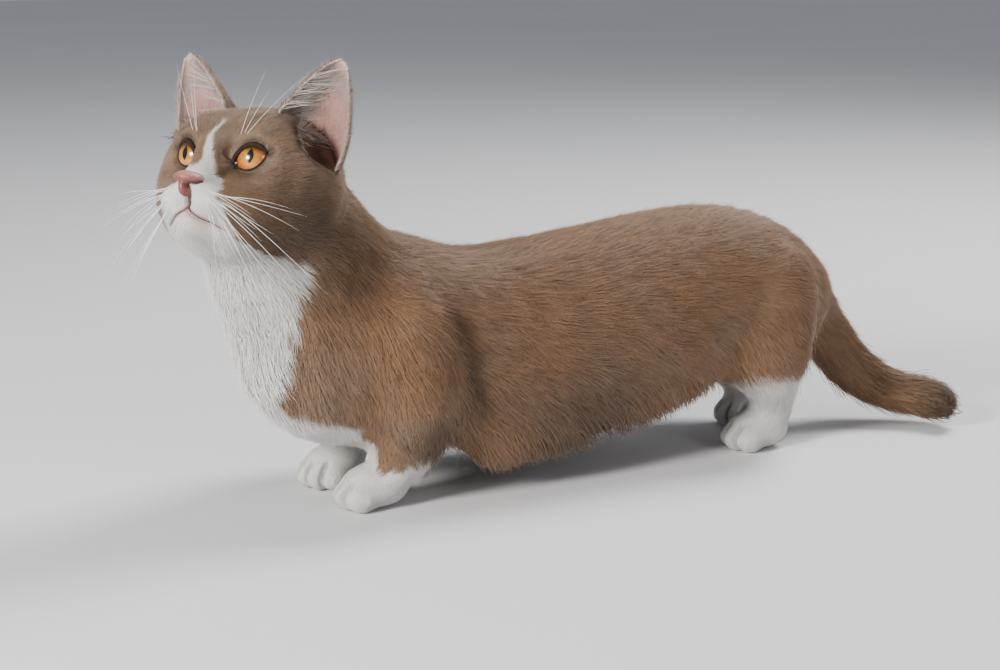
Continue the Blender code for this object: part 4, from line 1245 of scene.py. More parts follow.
def eye_material(colours, sizes):
    """Amber iris with fibres, an upright pupil and a dark rim, by the direction stored on the ball, lighter
    low down, with a painted shadow of the upper lid over its top.
    """
    made, tree, shader = new_material("amber_eye", 0.18)
    ahead, aside, above = reading(tree, "gaze")
    across_square, up_square = (figured(tree, "MULTIPLY", value, value) for value in (aside, above))
    reach = figured(tree, "SQRT", figured(tree, "ADD", across_square, up_square))
    safe = figured(tree, "MAXIMUM", reach, 0.02)
    ring = tree.nodes.new("ShaderNodeCombineXYZ")
    for number, value in enumerate((aside, above)):
        turned_to = figured(tree, "DIVIDE", value, safe)
        tree.links.new(figured(tree, "MULTIPLY", turned_to, 8.0), ring.inputs[number])
    tree.links.new(figured(tree, "MULTIPLY", reach, 2.5), ring.inputs[2])
    fibres = noise(tree, 1.6, 3.0, 0.65, ring.outputs[0])
    outwards = ranged(tree, reach, 0.18, 0.7, 0.0, 1.0, True)
    iris = mixed(tree, outwards, colours.iris_inner, colours.iris_outer)
    iris = dimmed(tree, iris, ranged(tree, fibres, 0.3, 0.7, 0.72, 1.28))
    # Lighter low down and darker upwards, then a painted shadow of the upper lid over the iris's top.
    iris = dimmed(tree, iris, ranged(tree, above, -0.3, 0.12, 1.2, 0.85))
    iris = dimmed(tree, iris, ranged(tree, above, 0.06, 0.36, 1.0, 0.14, True))
    half_width = sizes.pupil_width / 2 / EYE_RADIUS
    half_height = sizes.pupil_height / 2 / EYE_RADIUS
    upright = figured(tree, "ABSOLUTE", figured(tree, "DIVIDE", above, half_height))
    sideways = figured(tree, "ABSOLUTE", figured(tree, "DIVIDE", aside, half_width))
    slit = figured(tree, "ADD", sideways, figured(tree, "POWER", upright, 2.0))
    iris = dimmed(tree, iris, ranged(tree, slit, 1.0, 1.7, 0.72, 1.0, True))
    iris = mixed(tree, ranged(tree, reach, 0.7, 0.82, 0.0, 1.0, True), iris, EYE_RIM_COLOUR)
    iris = mixed(tree, ranged(tree, ahead, 0.3, 0.1, 0.0, 1.0), iris, EYE_RIM_COLOUR)
    iris = mixed(tree, ranged(tree, slit, 1.1, 0.92, 0.0, 1.0, True), iris, PUPIL_COLOUR)
    coloured(tree, shader, iris)
    set_inputs(shader, ("Coat Weight", 1.0), ("Coat Roughness", 0.02), ("Coat IOR", 1.42))
    return made


def sample_roots(surface, weight, count, seed):
    """Places spread over the triangles by area times weight: places, normals, UVs and triangle numbers."""
    corners = surface["places"][surface["triangles"]]
    area = lengths_of(np.cross(corners[:, 1] - corners[:, 0], corners[:, 2] - corners[:, 0])) / 2
    total = np.cumsum(area * weight)
    draw = np.random.default_rng(seed)
    picks = (np.arange(count) + draw.random(count)) / count * total[-1]
    chosen = np.minimum(np.searchsorted(total, picks), len(total) - 1)
    one, two = draw.random(count), draw.random(count)
    folded = one + two > 1
    one, two = np.where(folded, 1 - one, one), np.where(folded, 1 - two, two)
    shares = np.stack((1 - one - two, one, two), axis=1)[:, :, None]
    normals = (surface["normals"][surface["triangles"]][chosen] * shares).sum(axis=1)
    normals /= np.maximum(lengths_of(normals), 1e-9)[:, None]
    return {
        "places": (corners[chosen] * shares).sum(axis=1), "normals": normals,
        "uv": (surface["uv"][chosen] * shares).sum(axis=1), "triangles": chosen,
    }


def kept(roots, keep):
    """Only the roots that are to be kept."""
    return {name: values[keep] for name, values in roots.items()}


def guided(points, guides):
    """Values from a table of (place, value) rows, each place weighted by its nearness."""
    outwards = np.stack((points[:, 0], np.abs(points[:, 1]), points[:, 2]), axis=1)
    total = np.zeros((len(points), np.size(guides[0][1])))
    weights = np.zeros(len(points))
    for place, value in guides:
        weight = (np.sum((outwards - np.array(place)) ** 2, axis=1) + 1e-5) ** -2
        total += weight[:, None] * np.atleast_1d(value)
        weights += weight
    return total / weights[:, None]


def flattened(directions, normals):
    """The directions pressed onto the surface and made of length 1."""
    flat = directions - normals * np.sum(directions * normals, axis=1)[:, None]
    return flat / np.maximum(lengths_of(flat), 1e-9)[:, None]


def lie_field(points, normals):
    """The way that the coat lies at each point."""
    body = guided(points, LIE_GUIDES)
    body[:, 1] *= np.sign(points[:, 1])
    body = flattened(body, normals)
    along_tail = beads_near(points, TAIL_BEADS)[2]
    on_tail = soft(points[:, 0], 0.148, 0.166)[:, None]
    lie = body * (1 - on_tail) + flattened(along_tail, normals) * on_tail
    paw = foot_masks(points)[2]
    ahead = np.ones(len(points))
    toes = np.stack((-0.9 * ahead, 0.28 * np.sign(points[:, 1]), -0.3 * ahead), axis=1)
    lie = lie * (1 - paw[:, None]) + flattened(toes, normals) * paw[:, None]
    matrix = head_matrix()
    head = in_frame(points, matrix)
    head_normals = normals @ np.array(matrix)[:3, :3]
    away = head - np.array((0.049, 0.0, -0.005))
    away[:, 1] *= 1.15
    radial = flattened(away, head_normals)
    for side in (1, -1):
        inside, reach = inside_eye(points, side)
        middle = np.array((0.0275, 0.0175 * side, 0.0105))
        outwards = flattened(head - middle, head_normals)
        near = soft(-inside, 0.006, 0.0008) * (reach < 0.02)
        radial = radial + outwards * (1.9 * near)[:, None]
    radial = flattened(radial, head_normals) @ np.array(matrix)[:3, :3].T
    on_head = soft(above_cut(points), -0.018, 0.012)[:, None]
    return flattened(lie * (1 - on_head) + radial * on_head, normals)


def coat_length(points):
    """Length of the coat at each point."""
    length = guided(points, LENGTH_GUIDES)[:, 0]
    on_tail = soft(points[:, 0], 0.155, 0.18)
    length += (0.0125 - length) * on_tail
    paw = foot_masks(points)[2]
    length += (0.003 - length) * paw
    head = in_frame(points, head_matrix())
    on_head = soft(above_cut(points), -0.01, 0.016)
    from_nose = lengths_of(head - np.array((0.048, 0.0, -0.005)))
    short = 0.0014 + 0.0056 * soft(from_nose, 0.004, 0.06)
    for side in (1, -1):
        inside, reach = inside_eye(points, side)
        short *= 1 - 0.5 * soft(-inside, 0.007, 0.001) * (reach < 0.02)
    return length + (short - length) * on_head


def turned(directions, normals, angle):
    """The directions turned about the normals by an angle in radians."""
    return directions * np.cos(angle)[:, None] + np.cross(normals, directions) * np.sin(angle)[:, None]


def followed(tree, places, fallback):
    """Nearest places and normals of the surface."""
    found = np.array(places)
    normals = np.array(fallback)
    for i, place in enumerate(places):
        hit = tree.find_nearest(Vector(place), 0.02)
        if hit[0] is not None:
            found[i] = hit[0]
            normals[i] = hit[1]
    return found, normals


def tree_of(surface):
    return BVHTree.FromPolygons(surface["places"].tolist(), surface["triangles"].tolist())


def grow_tufts(name, roots, lie, length, width, heights, seed, tree=None, hug=1.0, rings=1, sunk=0.0004,
               marks=None, pink=0.0, stray=0.05, taper=0.7, gravity=0.0):
    """Tapered, three-sided tufts as one mesh. With a tree they follow the surface, as far as hug says."""
    count = len(roots["places"])
    draw = np.random.default_rng(seed)
    normals = roots["normals"]
    places = roots["places"]
    clump = waves(places, 0.0085, seed + 50)
    swirl = 0.1 * clump + 0.1 * waves(places, 0.03, seed + 51)
    lie = turned(lie, normals, swirl + draw.normal(0, 0.1, count))
    lifted = 1 + 0.2 * clump + draw.normal(0, 0.22, count)
    lifted = np.where(draw.random(count) < stray, lifted * 1.9, lifted)
    lifted = np.clip(lifted, 0.35, 2.6)[:, None]
    length = length * draw.uniform(0.8, 1.18, count)
    across = np.cross(lie, normals)
    across /= np.maximum(lengths_of(across), 1e-9)[:, None]
    shares = [0.0, 1.0] if rings == 1 else [0.0, 0.34, 0.7, 1.0]
    rise = [np.interp(share, (0.0, 0.5, 1.0), (0.0, heights[0], heights[1])) for share in shares]
    centres = [places - normals * sunk]
    surface_normals = [normals]
    here, facing = places, normals
    sway = (across * (0.1 * waves(places, 0.006, seed + 52) + draw.normal(0, 0.05, count))[:, None])
    for j in range(1, len(shares)):
        span = (shares[j] - shares[j - 1]) * length
        step = here + flattened(lie, facing) * span[:, None]
        if tree is not None:
            near, near_normals = followed(tree, step, facing)
            here = near * hug + step * (1 - hug)
            facing = near_normals * 0.5 + facing * 0.5
            facing = facing / np.maximum(lengths_of(facing), 1e-9)[:, None]
        else:
            here = step
        droop = np.zeros((count, 3))
        droop[:, 2] = -gravity * shares[j] ** 2 * length
        raised = here + facing * (rise[j] * length)[:, None] * lifted
        centres.append(raised + sway * (shares[j] ** 2 * length)[:, None] + droop)
        surface_normals.append(facing)
    ring_count = len(shares) - 1
    vertices, vertex_normals, along, corner = [], [], [], []
    for j in range(ring_count):
        breadth = width * (1 - (1 - taper) * (j / max(ring_count, 1)) * 1.4) / 2
        breadth = np.broadcast_to(breadth, count)[:, None]
        outward = surface_normals[j]
        for k, (side, ridge) in enumerate(((1, -0.15), (0, 0.75), (-1, -0.15))):
            vertices.append(centres[j] + across * breadth * side + outward * breadth * ridge)
            own = across * side * 0.9 + outward * 0.5
            vertex_normals.append(outward * ROUNDING + own * (1 - ROUNDING))
            along.append(shares[j])
            corner.append((k - 1.0, shares[j]))
    vertices.append(centres[-1])
    vertex_normals.append(surface_normals[-1])
    along.append(1.0)
    corner.append((0.0, 1.0))
    per = len(vertices)
    vertices = np.stack(vertices, axis=1)
    vertex_normals = np.stack(vertex_normals, axis=1)
    vertices[:, :, 2] = np.maximum(vertices[:, :, 2], FLOOR_CLEARANCE)
    faces = [(0, 1, 2)]
    for j in range(ring_count - 1):
        for k in range(3):
            a, b, c, d = 3 * j + k, 3 * j + (k + 1) % 3, 3 * j + 3 + (k + 1) % 3, 3 * j + 3 + k
            faces += [(a, c, b), (a, d, c)]
    last = 3 * (ring_count - 1)
    faces += [(last + (k + 1) % 3, last + k, per - 1) for k in range(3)]
    faces = np.array(faces, dtype=np.int32)
    all_faces = (faces[None] + (np.arange(count, dtype=np.int32) * per)[:, None, None]).reshape(-1, 3)
    corner = np.array(corner)
    uv = roots["uv"][:, None, :] + (corner[None] * (0.5, 1.0) - (0.0, 0.5)) * TUFT_PATCH
    vertex_marks = np.repeat(marks_at(places) if marks is None else marks, per, axis=0)
    chance = np.clip(0.5 + 0.17 * draw.normal(size=count) + 0.15 * waves(places, 0.01, seed + 53), 0, 1)
    strand = np.stack((
        np.tile(along, count), np.repeat(chance, per), np.repeat(np.broadcast_to(pink, count), per)), axis=1)
    return tuft_mesh(name, vertices.reshape(-1, 3), vertex_normals.reshape(-1, 3), all_faces,
                     uv.reshape(-1, 2), vertex_marks, strand)


def tuft_mesh(name, vertices, normals, faces, uv, marks, strand):
    """One coat piece from its arrays, with its own normals, its marks and its places on the unwrap."""
    mesh = bpy.data.meshes.new(name)
    mesh.vertices.add(len(vertices))
    mesh.loops.add(faces.size)
    mesh.polygons.add(len(faces))
    placed = np.ascontiguousarray(vertices + np.array(CENTRING), dtype=np.float32)
    mesh.vertices.foreach_set("co", placed.ravel())
    mesh.loops.foreach_set("vertex_index", faces.ravel())
    mesh.polygons.foreach_set("loop_start", np.arange(0, faces.size, 3, dtype=np.int32))
    mesh.update(calc_edges=True)
    layer = mesh.uv_layers.new(name="OFBake")
    layer.uv.foreach_set("vector", np.ascontiguousarray(uv[faces.ravel()], dtype=np.float32).ravel())
    write_vectors(mesh, "marks", marks)
    write_vectors(mesh, "strand", strand)
    mesh.shade_smooth()
    normals = normals / np.maximum(lengths_of(normals), 1e-9)[:, None]
    mesh.normals_split_custom_set_from_vertices(normals.tolist())
    mesh.materials.append(shared_coat())
    piece = bpy.data.objects.new(name, mesh)
    bpy.context.scene.collection.objects.link(piece)
    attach(piece, "root")
    return piece


def shared_coat():
    """The material of all the coat's tufts, made once."""
    made = bpy.data.materials.get("coat_fur")
    return made or coat_material("coat_fur", bpy.context.scene.cat_colours, False)


def bare_of_coat(points):
    """Where nothing grows: in the eyes, on the nose, along the mouth, in the ears and on the soles."""
    head = in_frame(points, head_matrix())
    bare = points[:, 2] < 0.001
    for side in (1, -1):
        inside, reach = inside_eye(points, side)
        bare |= (inside > -0.0007) & (reach < 0.019)
        bare |= in_ear_hollow(head, side) > 0.6
    left, right = mouth_line()
    bare |= np.minimum(distance_to_line(head, left), distance_to_line(head, right)) < 0.0008
    for centre, radii in NOSE_MASSES:
        bare |= lengths_of((head - np.array(centre)) / (np.array(radii) + 0.0003)) < 1.0
    return bare


def split_roots(roots, most):
    """The roots in as many sets as keep each set under the most."""
    sets = math.ceil(len(roots["places"]) / most)
    order = np.argsort(roots["places"][:, 0], kind="stable")
    return [kept(roots, part) for part in np.array_split(order, sets)]


def tubes(name, lines, material, fineness=2):
    """Tapered round tubes along lines of points, as one mesh. Each line has its points and its radii."""
    curve = bpy.data.curves.new(name, "CURVE")
    curve.dimensions = "3D"
    curve.bevel_depth = 1.0
    curve.bevel_resolution = fineness
    curve.use_fill_caps = True
    for points, radii in lines:
        spline = curve.splines.new("POLY")
        spline.points.add(len(points) - 1)
        for knot, point, radius in zip(spline.points, points, radii):
            knot.co = (*point, 1.0)
            knot.radius = radius
    shaper = bpy.data.objects.new(name + "_shaper", curve)
    bpy.context.scene.collection.objects.link(shaper)
    graph = bpy.context.evaluated_depsgraph_get()
    mesh = bpy.data.meshes.new_from_object(shaper.evaluated_get(graph))
    bpy.data.objects.remove(shaper)
    piece = bpy.data.objects.new(name, mesh)
    bpy.context.scene.collection.objects.link(piece)
    bag = bmesh.new()
    bag.from_mesh(mesh)
    bmesh.ops.remove_doubles(bag, verts=bag.verts, dist=1e-7)
    bmesh.ops.recalc_face_normals(bag, faces=bag.faces)
    bag.to_mesh(mesh)
    bag.free()
    mesh.materials.clear()
    mesh.materials.append(material)
    return piece


def over_ball(side, longitude, latitude, reach):
    """A point over the eyeball in the world, from degrees outwards and upwards."""
    lon, lat = math.radians(longitude), math.radians(latitude)
    local = Vector((math.cos(lat) * math.cos(lon), math.cos(lat) * math.sin(lon) * side, math.sin(lat)))
    return eye_frame(side) @ (local * reach)


def lid_line(side, upper, lift, steps=40):
    """Points along the edge of one lid from the inner to the outer corner."""
    inner, outer = EYE_CORNERS
    points = []
    for i in range(steps + 1):
        along = -math.cos(math.pi * i / steps)
        longitude = (inner + outer) / 2 + along * (outer - inner) / 2
        edges = lid_edges(np.array([longitude]))
        latitude = float(edges[0][0] if upper else edges[1][0])
        far = EYE_RADIUS + lift + 0.0012 * max(0.0, (-0.62 - along) / 0.38)
        points.append(over_ball(side, longitude, latitude, far))
    return points


def bent_line(start, direction, length, sag, curl, steps=12):
    """A whisker's points: straight at first, then bending down by its sag and sideways by its curl."""
    direction = Vector(direction).normalized()
    points = []
    for i in range(steps + 1):
        share = i / steps
        bend = sag * (length * share ** 2) + curl * (length * share ** 2.2)
        points.append(start + direction * (length * share) + bend)
    return points


def ear_edges(side):
    """The ear's spine and the line between the ends of its base, in the head's axes."""
    inner, outer = (np.array(end) * (1, side, 1) for end in (EAR_INNER_BASE, EAR_OUTER_BASE))
    middle = (inner + outer) / 2
    return middle, np.array(EAR_TIP) * (1, side, 1) - middle, (outer - inner) / 2


def colour_of(name, description, default):
    """A colour that a user may change."""
    return FloatVectorProperty(
        name=name, description=description, subtype="COLOR", size=3, min=0.0, max=1.0, default=default)


def count_of(name, description, default):
    """A number of tufts that a user may change."""
    return IntProperty(name=name, description=description, default=default, min=100)


def length_of(name, description, default):
    """A length in metres that a user may change."""
    return FloatProperty(
        name=name, description=description, subtype="DISTANCE", unit="LENGTH", default=default, min=0.0001)


class CatColours(bpy.types.PropertyGroup):
    """Colours of the coat and the bare skin."""

    cool_fawn: colour_of(
        "Cool fawn", "Greyer fawn of the belly and the chest's sides", (0.205, 0.134, 0.088))
    warm_fawn: colour_of(
        "Warm fawn", "Warmer fawn of the back, flanks and shoulders", (0.222, 0.122, 0.064))
    white: colour_of("White", "White of the bib, muzzle, blaze and feet", (0.8, 0.77, 0.73))
    pink: colour_of("Pink skin", "Bare skin in the ears and at the lips", (0.5, 0.225, 0.2))
    nose: colour_of("Nose leather", "Pink red leather of the nose", (0.42, 0.205, 0.182))
    lid: colour_of("Lid margin", "Dark brown edge of the lids", (0.02, 0.011, 0.008))
    iris_outer: colour_of("Iris, outer", "Orange brown of the iris at its rim", (0.26, 0.085, 0.012))
    iris_inner: colour_of("Iris, inner", "Amber of the iris round the pupil", (0.52, 0.205, 0.022))


class CatSizes(bpy.types.PropertyGroup):
    """Lengths and numbers of the coat's tufts and of the whiskers."""

    body_tufts: count_of("Body tufts", "How many tufts cover the body, neck and tail", 180000)
    head_tufts: count_of("Head tufts", "How many short tufts cover the head", 80000)
    leg_tufts: count_of("Leg tufts", "How many tufts cover the legs and paws", 42000)
    long_tufts: count_of("Long tufts", "How many long tufts hang at the belly, chest and tail", 9000)
    body_width: length_of("Body tuft width", "Width of a body tuft near its root", 0.00044)
    head_width: length_of("Head tuft width", "Width of a head tuft at its root", 0.00034)
    whisker_length: length_of("Whisker length", "Length of the longest whiskers of the muzzle", 0.054)
    whisker_width: length_of("Whisker width", "Thickness of a whisker at its root", 0.00024)
    pupil_width: length_of("Pupil width", "Width of the upright pupil", 0.0027)
    pupil_height: length_of("Pupil height", "Height of the upright pupil", 0.0062)


class CAT_OT_skin(bpy.types.Operator):
    """Makes the skin: one surface for head, neck, trunk, tail, legs and paws."""

    bl_idname = "cat.skin"
    bl_label = "Skin"

    def execute(self, context):
        skin = flesh_form()
        refine_skin(skin)
        form_head(skin)
        mesh = skin.data
        mesh.update()
        places = places_of(mesh)
        normals = vectors_of(mesh.vertex_normals, "vector")
        places = places - normals * coat_depth(places)[:, None]
        places = part_toes(press_mouth(seat_eyes(places)))
        places[:, 2] = np.maximum(places[:, 2], FLOOR_CLEARANCE)
        move_to(mesh, places)
        unwrapped(skin)
        write_vectors(mesh, "marks", marks_at(places))
        write_vectors(mesh, "strand", bare_skin(places))
        mesh.materials.clear()
        mesh.materials.append(coat_material("skin_under_coat", context.scene.cat_colours, True))
        finished(skin, "coat", *FLESH_NODES)
        return {"FINISHED"}


class CAT_OT_eyes(bpy.types.Operator):
    """Makes the glossy amber eyes."""

    bl_idname = "cat.eyes"
    bl_label = "Eyes"

    def execute(self, context):
        amber = eye_material(context.scene.cat_colours, context.scene.cat_sizes)
        for side, word in ((1, "left"), (-1, "right")):
            outwards, upwards = (math.radians(angle) for angle in GAZES[side])
            turn = Matrix.Rotation(outwards * side, 4, "Z") @ Matrix.Rotation(-upwards, 4, "Y")
            matrix = head_matrix() @ Matrix.Translation(mirrored(EYE_PLACE, side)) @ turn
            bag = bmesh.new()
            bmesh.ops.create_uvsphere(bag, u_segments=64, v_segments=40, radius=1.0)
            bmesh.ops.rotate(bag, verts=bag.verts, matrix=Matrix.Rotation(math.radians(90), 3, "Y"))
            gaze = np.array([vertex.co for vertex in bag.verts])
            for vertex in bag.verts:
                dome = CORNEA_RISE * max(0.0, (vertex.co.x - 0.62) / 0.38) ** 0.8
                vertex.co *= EYE_RADIUS + dome
            bag.transform(matrix)
            eye = object_from(bag, "eyeball_" + word, context.scene.collection)
            gaze[:, 1] *= side
            write_vectors(eye.data, "gaze", gaze)
            eye.data.materials.append(amber)
            finished(eye, "eye", "eye_" + word)
        return {"FINISHED"}


class CAT_OT_lids(bpy.types.Operator):
    """Makes the dark margins of the lids and the pink corner of each eye."""

    bl_idname = "cat.lids"
    bl_label = "Lids"

    def execute(self, context):
        colours = context.scene.cat_colours
        rim, tree, shader = new_material("lid_margin", 0.75)
        shade = noise(tree, 400.0, 2.0)
        paler = tuple(1.7 * value for value in colours.lid)
        coloured(tree, shader, mixed(tree, ranged(tree, shade, 0.35, 0.65, 0, 1), colours.lid, paler))
        shader.inputs["Specular IOR Level"].default_value = 0.12
        bumped(tree, shader, noise(tree, 1500.0, 2.0), 0.3, 0.0002)
        pink, tree, shader = new_material("eye_corner", 0.25)
        flush = tuple(0.3 * value for value in colours.pink)
        coloured(tree, shader, mixed(tree, noise(tree, 600.0), flush, colours.lid))
        for side, word in ((1, "left"), (-1, "right")):
            lines = []
            for upper, lift, thin, thick in LID_RIMS:
                points = lid_line(side, upper, lift)
                swell = [math.sin(math.pi * i / (len(points) - 1)) ** 0.7 for i in range(len(points))]
                lines.append((points, [thin + (thick - thin) * share for share in swell]))
            finished(tubes("lid_margins_" + word, lines, rim, 3), "coat")
            bag = bmesh.new()
            place = over_ball(side, EYE_CORNERS[0] + 5.0, EYE_CORNER_HEIGHTS[0] + 1.5, EYE_RADIUS + 0.0004)
            turn = eye_frame(side).to_3x3().to_4x4()
            frame_here = Matrix.Translation(place) @ turn
            ball(bag, (0, 0, 0), (0.0007, 0.002, 0.0009), frame_here)
            corner = object_from(bag, "eye_corner_" + word, context.scene.collection)
            corner.data.materials.append(pink)
            finished(corner, "nose")
        return {"FINISHED"}


class CAT_OT_nose(bpy.types.Operator):
    """Makes the nose leather with its nostrils."""

    bl_idname = "cat.nose"
    bl_label = "Nose"

    def execute(self, context):
        bag = bmesh.new()
        for centre, radii in NOSE_MASSES:
            ball(bag, centre, radii)
        nose = remeshed(object_from(bag, "nose_leather", context.scene.collection), NOSE_VOXEL, 6)
        places = places_of(nose.data)
        pressed = np.zeros(len(places))
        for side in (1, -1):
            line = np.array([mirrored(point, side) for point in NOSTRIL_LINE])
            away = distance_to_line(places, line)
            pressed = np.maximum(pressed, soft(away, NOSTRIL_WIDTH, NOSTRIL_WIDTH * 0.25))
        groove = 0.35 * soft(np.abs(places[:, 1]), 0.0011, 0.0) * soft(places[:, 2], -0.003, -0.005)
        places[:, 0] -= NOSTRIL_DEPTH * pressed + 0.0006 * groove
        move_to(nose.data, places)
        # How high on the leather each point lies; lower down the leather is painted in shade.
        upper = soft(places[:, 2] + 0.35 * (0.048 - places[:, 0]), -0.005, -0.001)
        write_vectors(nose.data, "nose_shade_masks", np.stack((pressed, groove, upper), axis=1))
        nose.data.transform(head_matrix())
        leather, tree, shader = new_material("nose_leather", 0.42)
        nostril_shade, _, height = reading(tree, "nose_shade_masks")
        grains = tree.nodes.new("ShaderNodeTexVoronoi")
        grains.inputs["Scale"].default_value = 1700.0
        tree.links.new(tree.nodes.new("ShaderNodeTexCoord").outputs["Object"], grains.inputs["Vector"])
        cracks = grains.outputs["Distance"]
        colours = context.scene.cat_colours
        # Painted shade: the leather darker on its lower face, and the nostrils dark where they sink in.
        shaded_leather = tuple(value * share for value, share in zip(colours.nose, NOSE_LOW_SHADE))
        flush = mixed(tree, height, shaded_leather, colours.nose)
        flush = dimmed(tree, flush, ranged(tree, noise(tree, 350.0, 3.0), 0.3, 0.7, 0.82, 1.18))
        flush = dimmed(tree, flush, ranged(tree, cracks, 0.0, 0.6, 0.9, 1.1))
        # Painted shade in the nostrils.
        dark = mixed(tree, ranged(tree, nostril_shade, 0.15, 0.8, 0.0, 1.0), flush, NOSTRIL_SHADE_COLOUR)
        coloured(tree, shader, dark)
        shader.inputs["Specular IOR Level"].default_value = 0.45
        bumped(tree, shader, cracks, 0.35, 0.0003)
        nose.data.materials.clear()
        nose.data.materials.append(leather)
        finished(nose, "nose", "nose")
        return {"FINISHED"}


class CAT_OT_mouth(bpy.types.Operator):
    """Draws the dark line where the lips meet."""

    bl_idname = "cat.mouth"
    bl_label = "Mouth"

    def execute(self, context):
        lip, tree, shader = new_material("lip_line", 0.45)
        coloured(tree, shader, mixed(tree, noise(tree, 500.0), LIP_COLOURS[0], LIP_COLOURS[1]))
        core = np.array(HEAD_CORE)
        lines = []
        for line in mouth_line():
            rays = line - core
            sunk = line - unit(rays) * LIP_SUNK
            points = [head_matrix() @ Vector(point) for point in sunk]
            last = len(points) - 1
            radii = np.interp(np.arange(last + 1), (0, 3, last), (0.0004, LIP_WIDTH, LIP_WIDTH * 0.4))
            lines.append((points, radii.tolist()))
        finished(tubes("lip_line", lines, lip), "nose")
        return {"FINISHED"}


class CAT_OT_ears(bpy.types.Operator):
    """Makes the thin cupped ears, pink inside, with fur on the back, fuzz and long hair inside."""

    bl_idname = "cat.ears"
    bl_label = "Ears"

    def execute(self, context):
        leather = coat_material("ear_leather", context.scene.cat_colours, True)
        for side, word in ((1, "left"), (-1, "right")):
            ear = ear_shell(side, word)
            ear.data.materials.clear()
            ear.data.materials.append(leather)
            unwrapped(ear)
            places = places_of(ear.data)
            normals = vectors_of(ear.data.vertex_normals, "vector")
            cup = vectors_of(ear.data.attributes["cup"].data, "vector")
            inner = ear_inner(places, normals, cup, side)
            marks, strand = ear_marks(cup, inner)
            write_vectors(ear.data, "marks", marks)
            write_vectors(ear.data, "strand", strand)
            finished(ear, "ear", "ear_" + word)
            self.hair(ear, cup, inner, side, word)
        return {"FINISHED"}

    def hair(self, ear, cup, inner, side, word):
        """Short fur on the back and rim, fuzz inside, and long hair from the inner edge and the mouth."""
        surface = read_mesh(ear)
        triangles = surface["triangles"]
        up, across = cup[triangles, 1].mean(axis=1), cup[triangles, 0].mean(axis=1)
        inside = inner[triangles].mean(axis=1)
        turn = np.array(head_matrix())[:3, :3]
        _, spine, edge = ear_edges(side)
        spine, edge = turn @ spine, turn @ edge
        spine, edge = spine / np.linalg.norm(spine), edge / np.linalg.norm(edge)
        rim = np.maximum(soft(np.abs(across), 0.9, 0.97), soft(up, 0.9, 0.95))
        upper = 0.35 + 0.65 * soft(up, 0.45, 0.75)
        for name, weight, share, length, width, look, heights in (
            ("back", (1 - inside) * (up > -0.12), 1.0, 0.0038, 0.0003, (0.0, 0.12, 0.55, 0.0), (0.1, 0.2)),
            ("rim", rim * (up > -0.02), 0.3, 0.0015, 0.0002, (0.55, 0.0, 0.4, 0.1), (0.25, 0.45)),
            ("fuzz", inside * (up > 0.1) * upper, 0.5, 0.0036, 0.00018, (0.42, 0.0, 0.4, 0.2), (0.14, 0.22)),
        ):
            roots = sample_roots(surface, weight, int(EAR_TUFTS * share), 61 + side + len(name))
            place = cup[triangles][roots["triangles"]].mean(axis=1)
            lie = spine[None] + edge[None] * (0.45 * place[:, :1])
            marks = np.tile(look[:3], (len(place), 1))
            if name == "back":
                marks[:, 1] += 0.25 * soft(place[:, 1], 0.35, 0.05)
            shorter = length * (1 - 0.72 * soft(place[:, 1], 0.72, 0.94))
            grow_tufts(
                f"ear_{name}_{word}", roots, flattened(lie, roots["normals"]), shorter, width, heights,
                610 + side, sunk=0.0002, marks=marks, pink=look[3])
        weight = inside * soft(across, -0.62, -0.88) * (up > 0.0) * soft(up, 0.72, 0.5)
        roots = sample_roots(surface, weight, EAR_LONG_HAIRS, 71 + side)
        lie = spine[None] * 0.62 + edge[None] * 0.78 + 0.12 * roots["normals"]
        marks = np.tile((0.55, 0.0, 0.5), (EAR_LONG_HAIRS, 1))
        draw = np.random.default_rng(75 + side)
        lengths = draw.uniform(0.009, 0.017, EAR_LONG_HAIRS)
        lie = unit(lie)
        grow_tufts(
            f"ear_long_{word}", roots, lie, lengths, 0.0002, (0.16, 0.16), 640 + side, rings=3,
            marks=marks, taper=0.8)
        skin = read_mesh(bpy.data.objects["skin"])
        head = in_frame(skin["places"][skin["triangles"]].mean(axis=1), head_matrix())
        weight = soft(distance_to_ear_hollows(head), 0.005, 0.001)
        weight = weight * soft(along_ear_base(head, side), 0.003, -0.002) * (head[:, 1] * side > 0.01)
        roots = sample_roots(skin, weight, EAR_MOUTH_HAIRS, 91 + side)
        lie = spine[None] * 0.55 + edge[None] * 0.8 + 0.1 * roots["normals"]
        marks = np.tile((0.4, 0.0, 0.5), (EAR_MOUTH_HAIRS, 1))
        marks[:, 0] = draw.uniform(0.05, 0.75, EAR_MOUTH_HAIRS)
        lengths = draw.uniform(0.005, 0.011, EAR_MOUTH_HAIRS)
        lie = unit(lie)
        grow_tufts(
            f"ear_mouth_{word}", roots, lie, lengths, 0.00024, (0.16, 0.16), 660 + side, rings=3,
            marks=marks, taper=0.8)


def ear_shell(side, word):
    """The ear's thin wall, with each vertex's place across and up it stored."""
    columns, rows = EAR_GRID
    bag = bmesh.new()
    bmesh.ops.create_grid(bag, x_segments=columns, y_segments=rows, size=1.0)
    cup = bag.verts.layers.float_vector.new("cup")
    for vertex in bag.verts:
        across = math.sin(vertex.co.x * math.pi / 2)
        up = -EAR_ROOT + (1 + EAR_ROOT) * (vertex.co.y + 1) / 2
        vertex[cup] = (across, up, 0.0)
        vertex.co = mirrored(ear_point(across, min(up, 0.985)), side)
    bag.transform(head_matrix())
    ear = object_from(bag, "ear_shell_" + word, bpy.context.scene.collection)
    wall = ear.modifiers.new("Wall", "SOLIDIFY")
    wall.thickness = EAR_WALL
    wall.offset = 0.0
    apply_modifiers(ear)
    bag = bmesh.new()
    bag.from_mesh(ear.data)
    bmesh.ops.remove_doubles(bag, verts=bag.verts, dist=0.00002)
    bmesh.ops.recalc_face_normals(bag, faces=bag.faces)
    bag.to_mesh(ear.data)
    bag.free()
    return ear


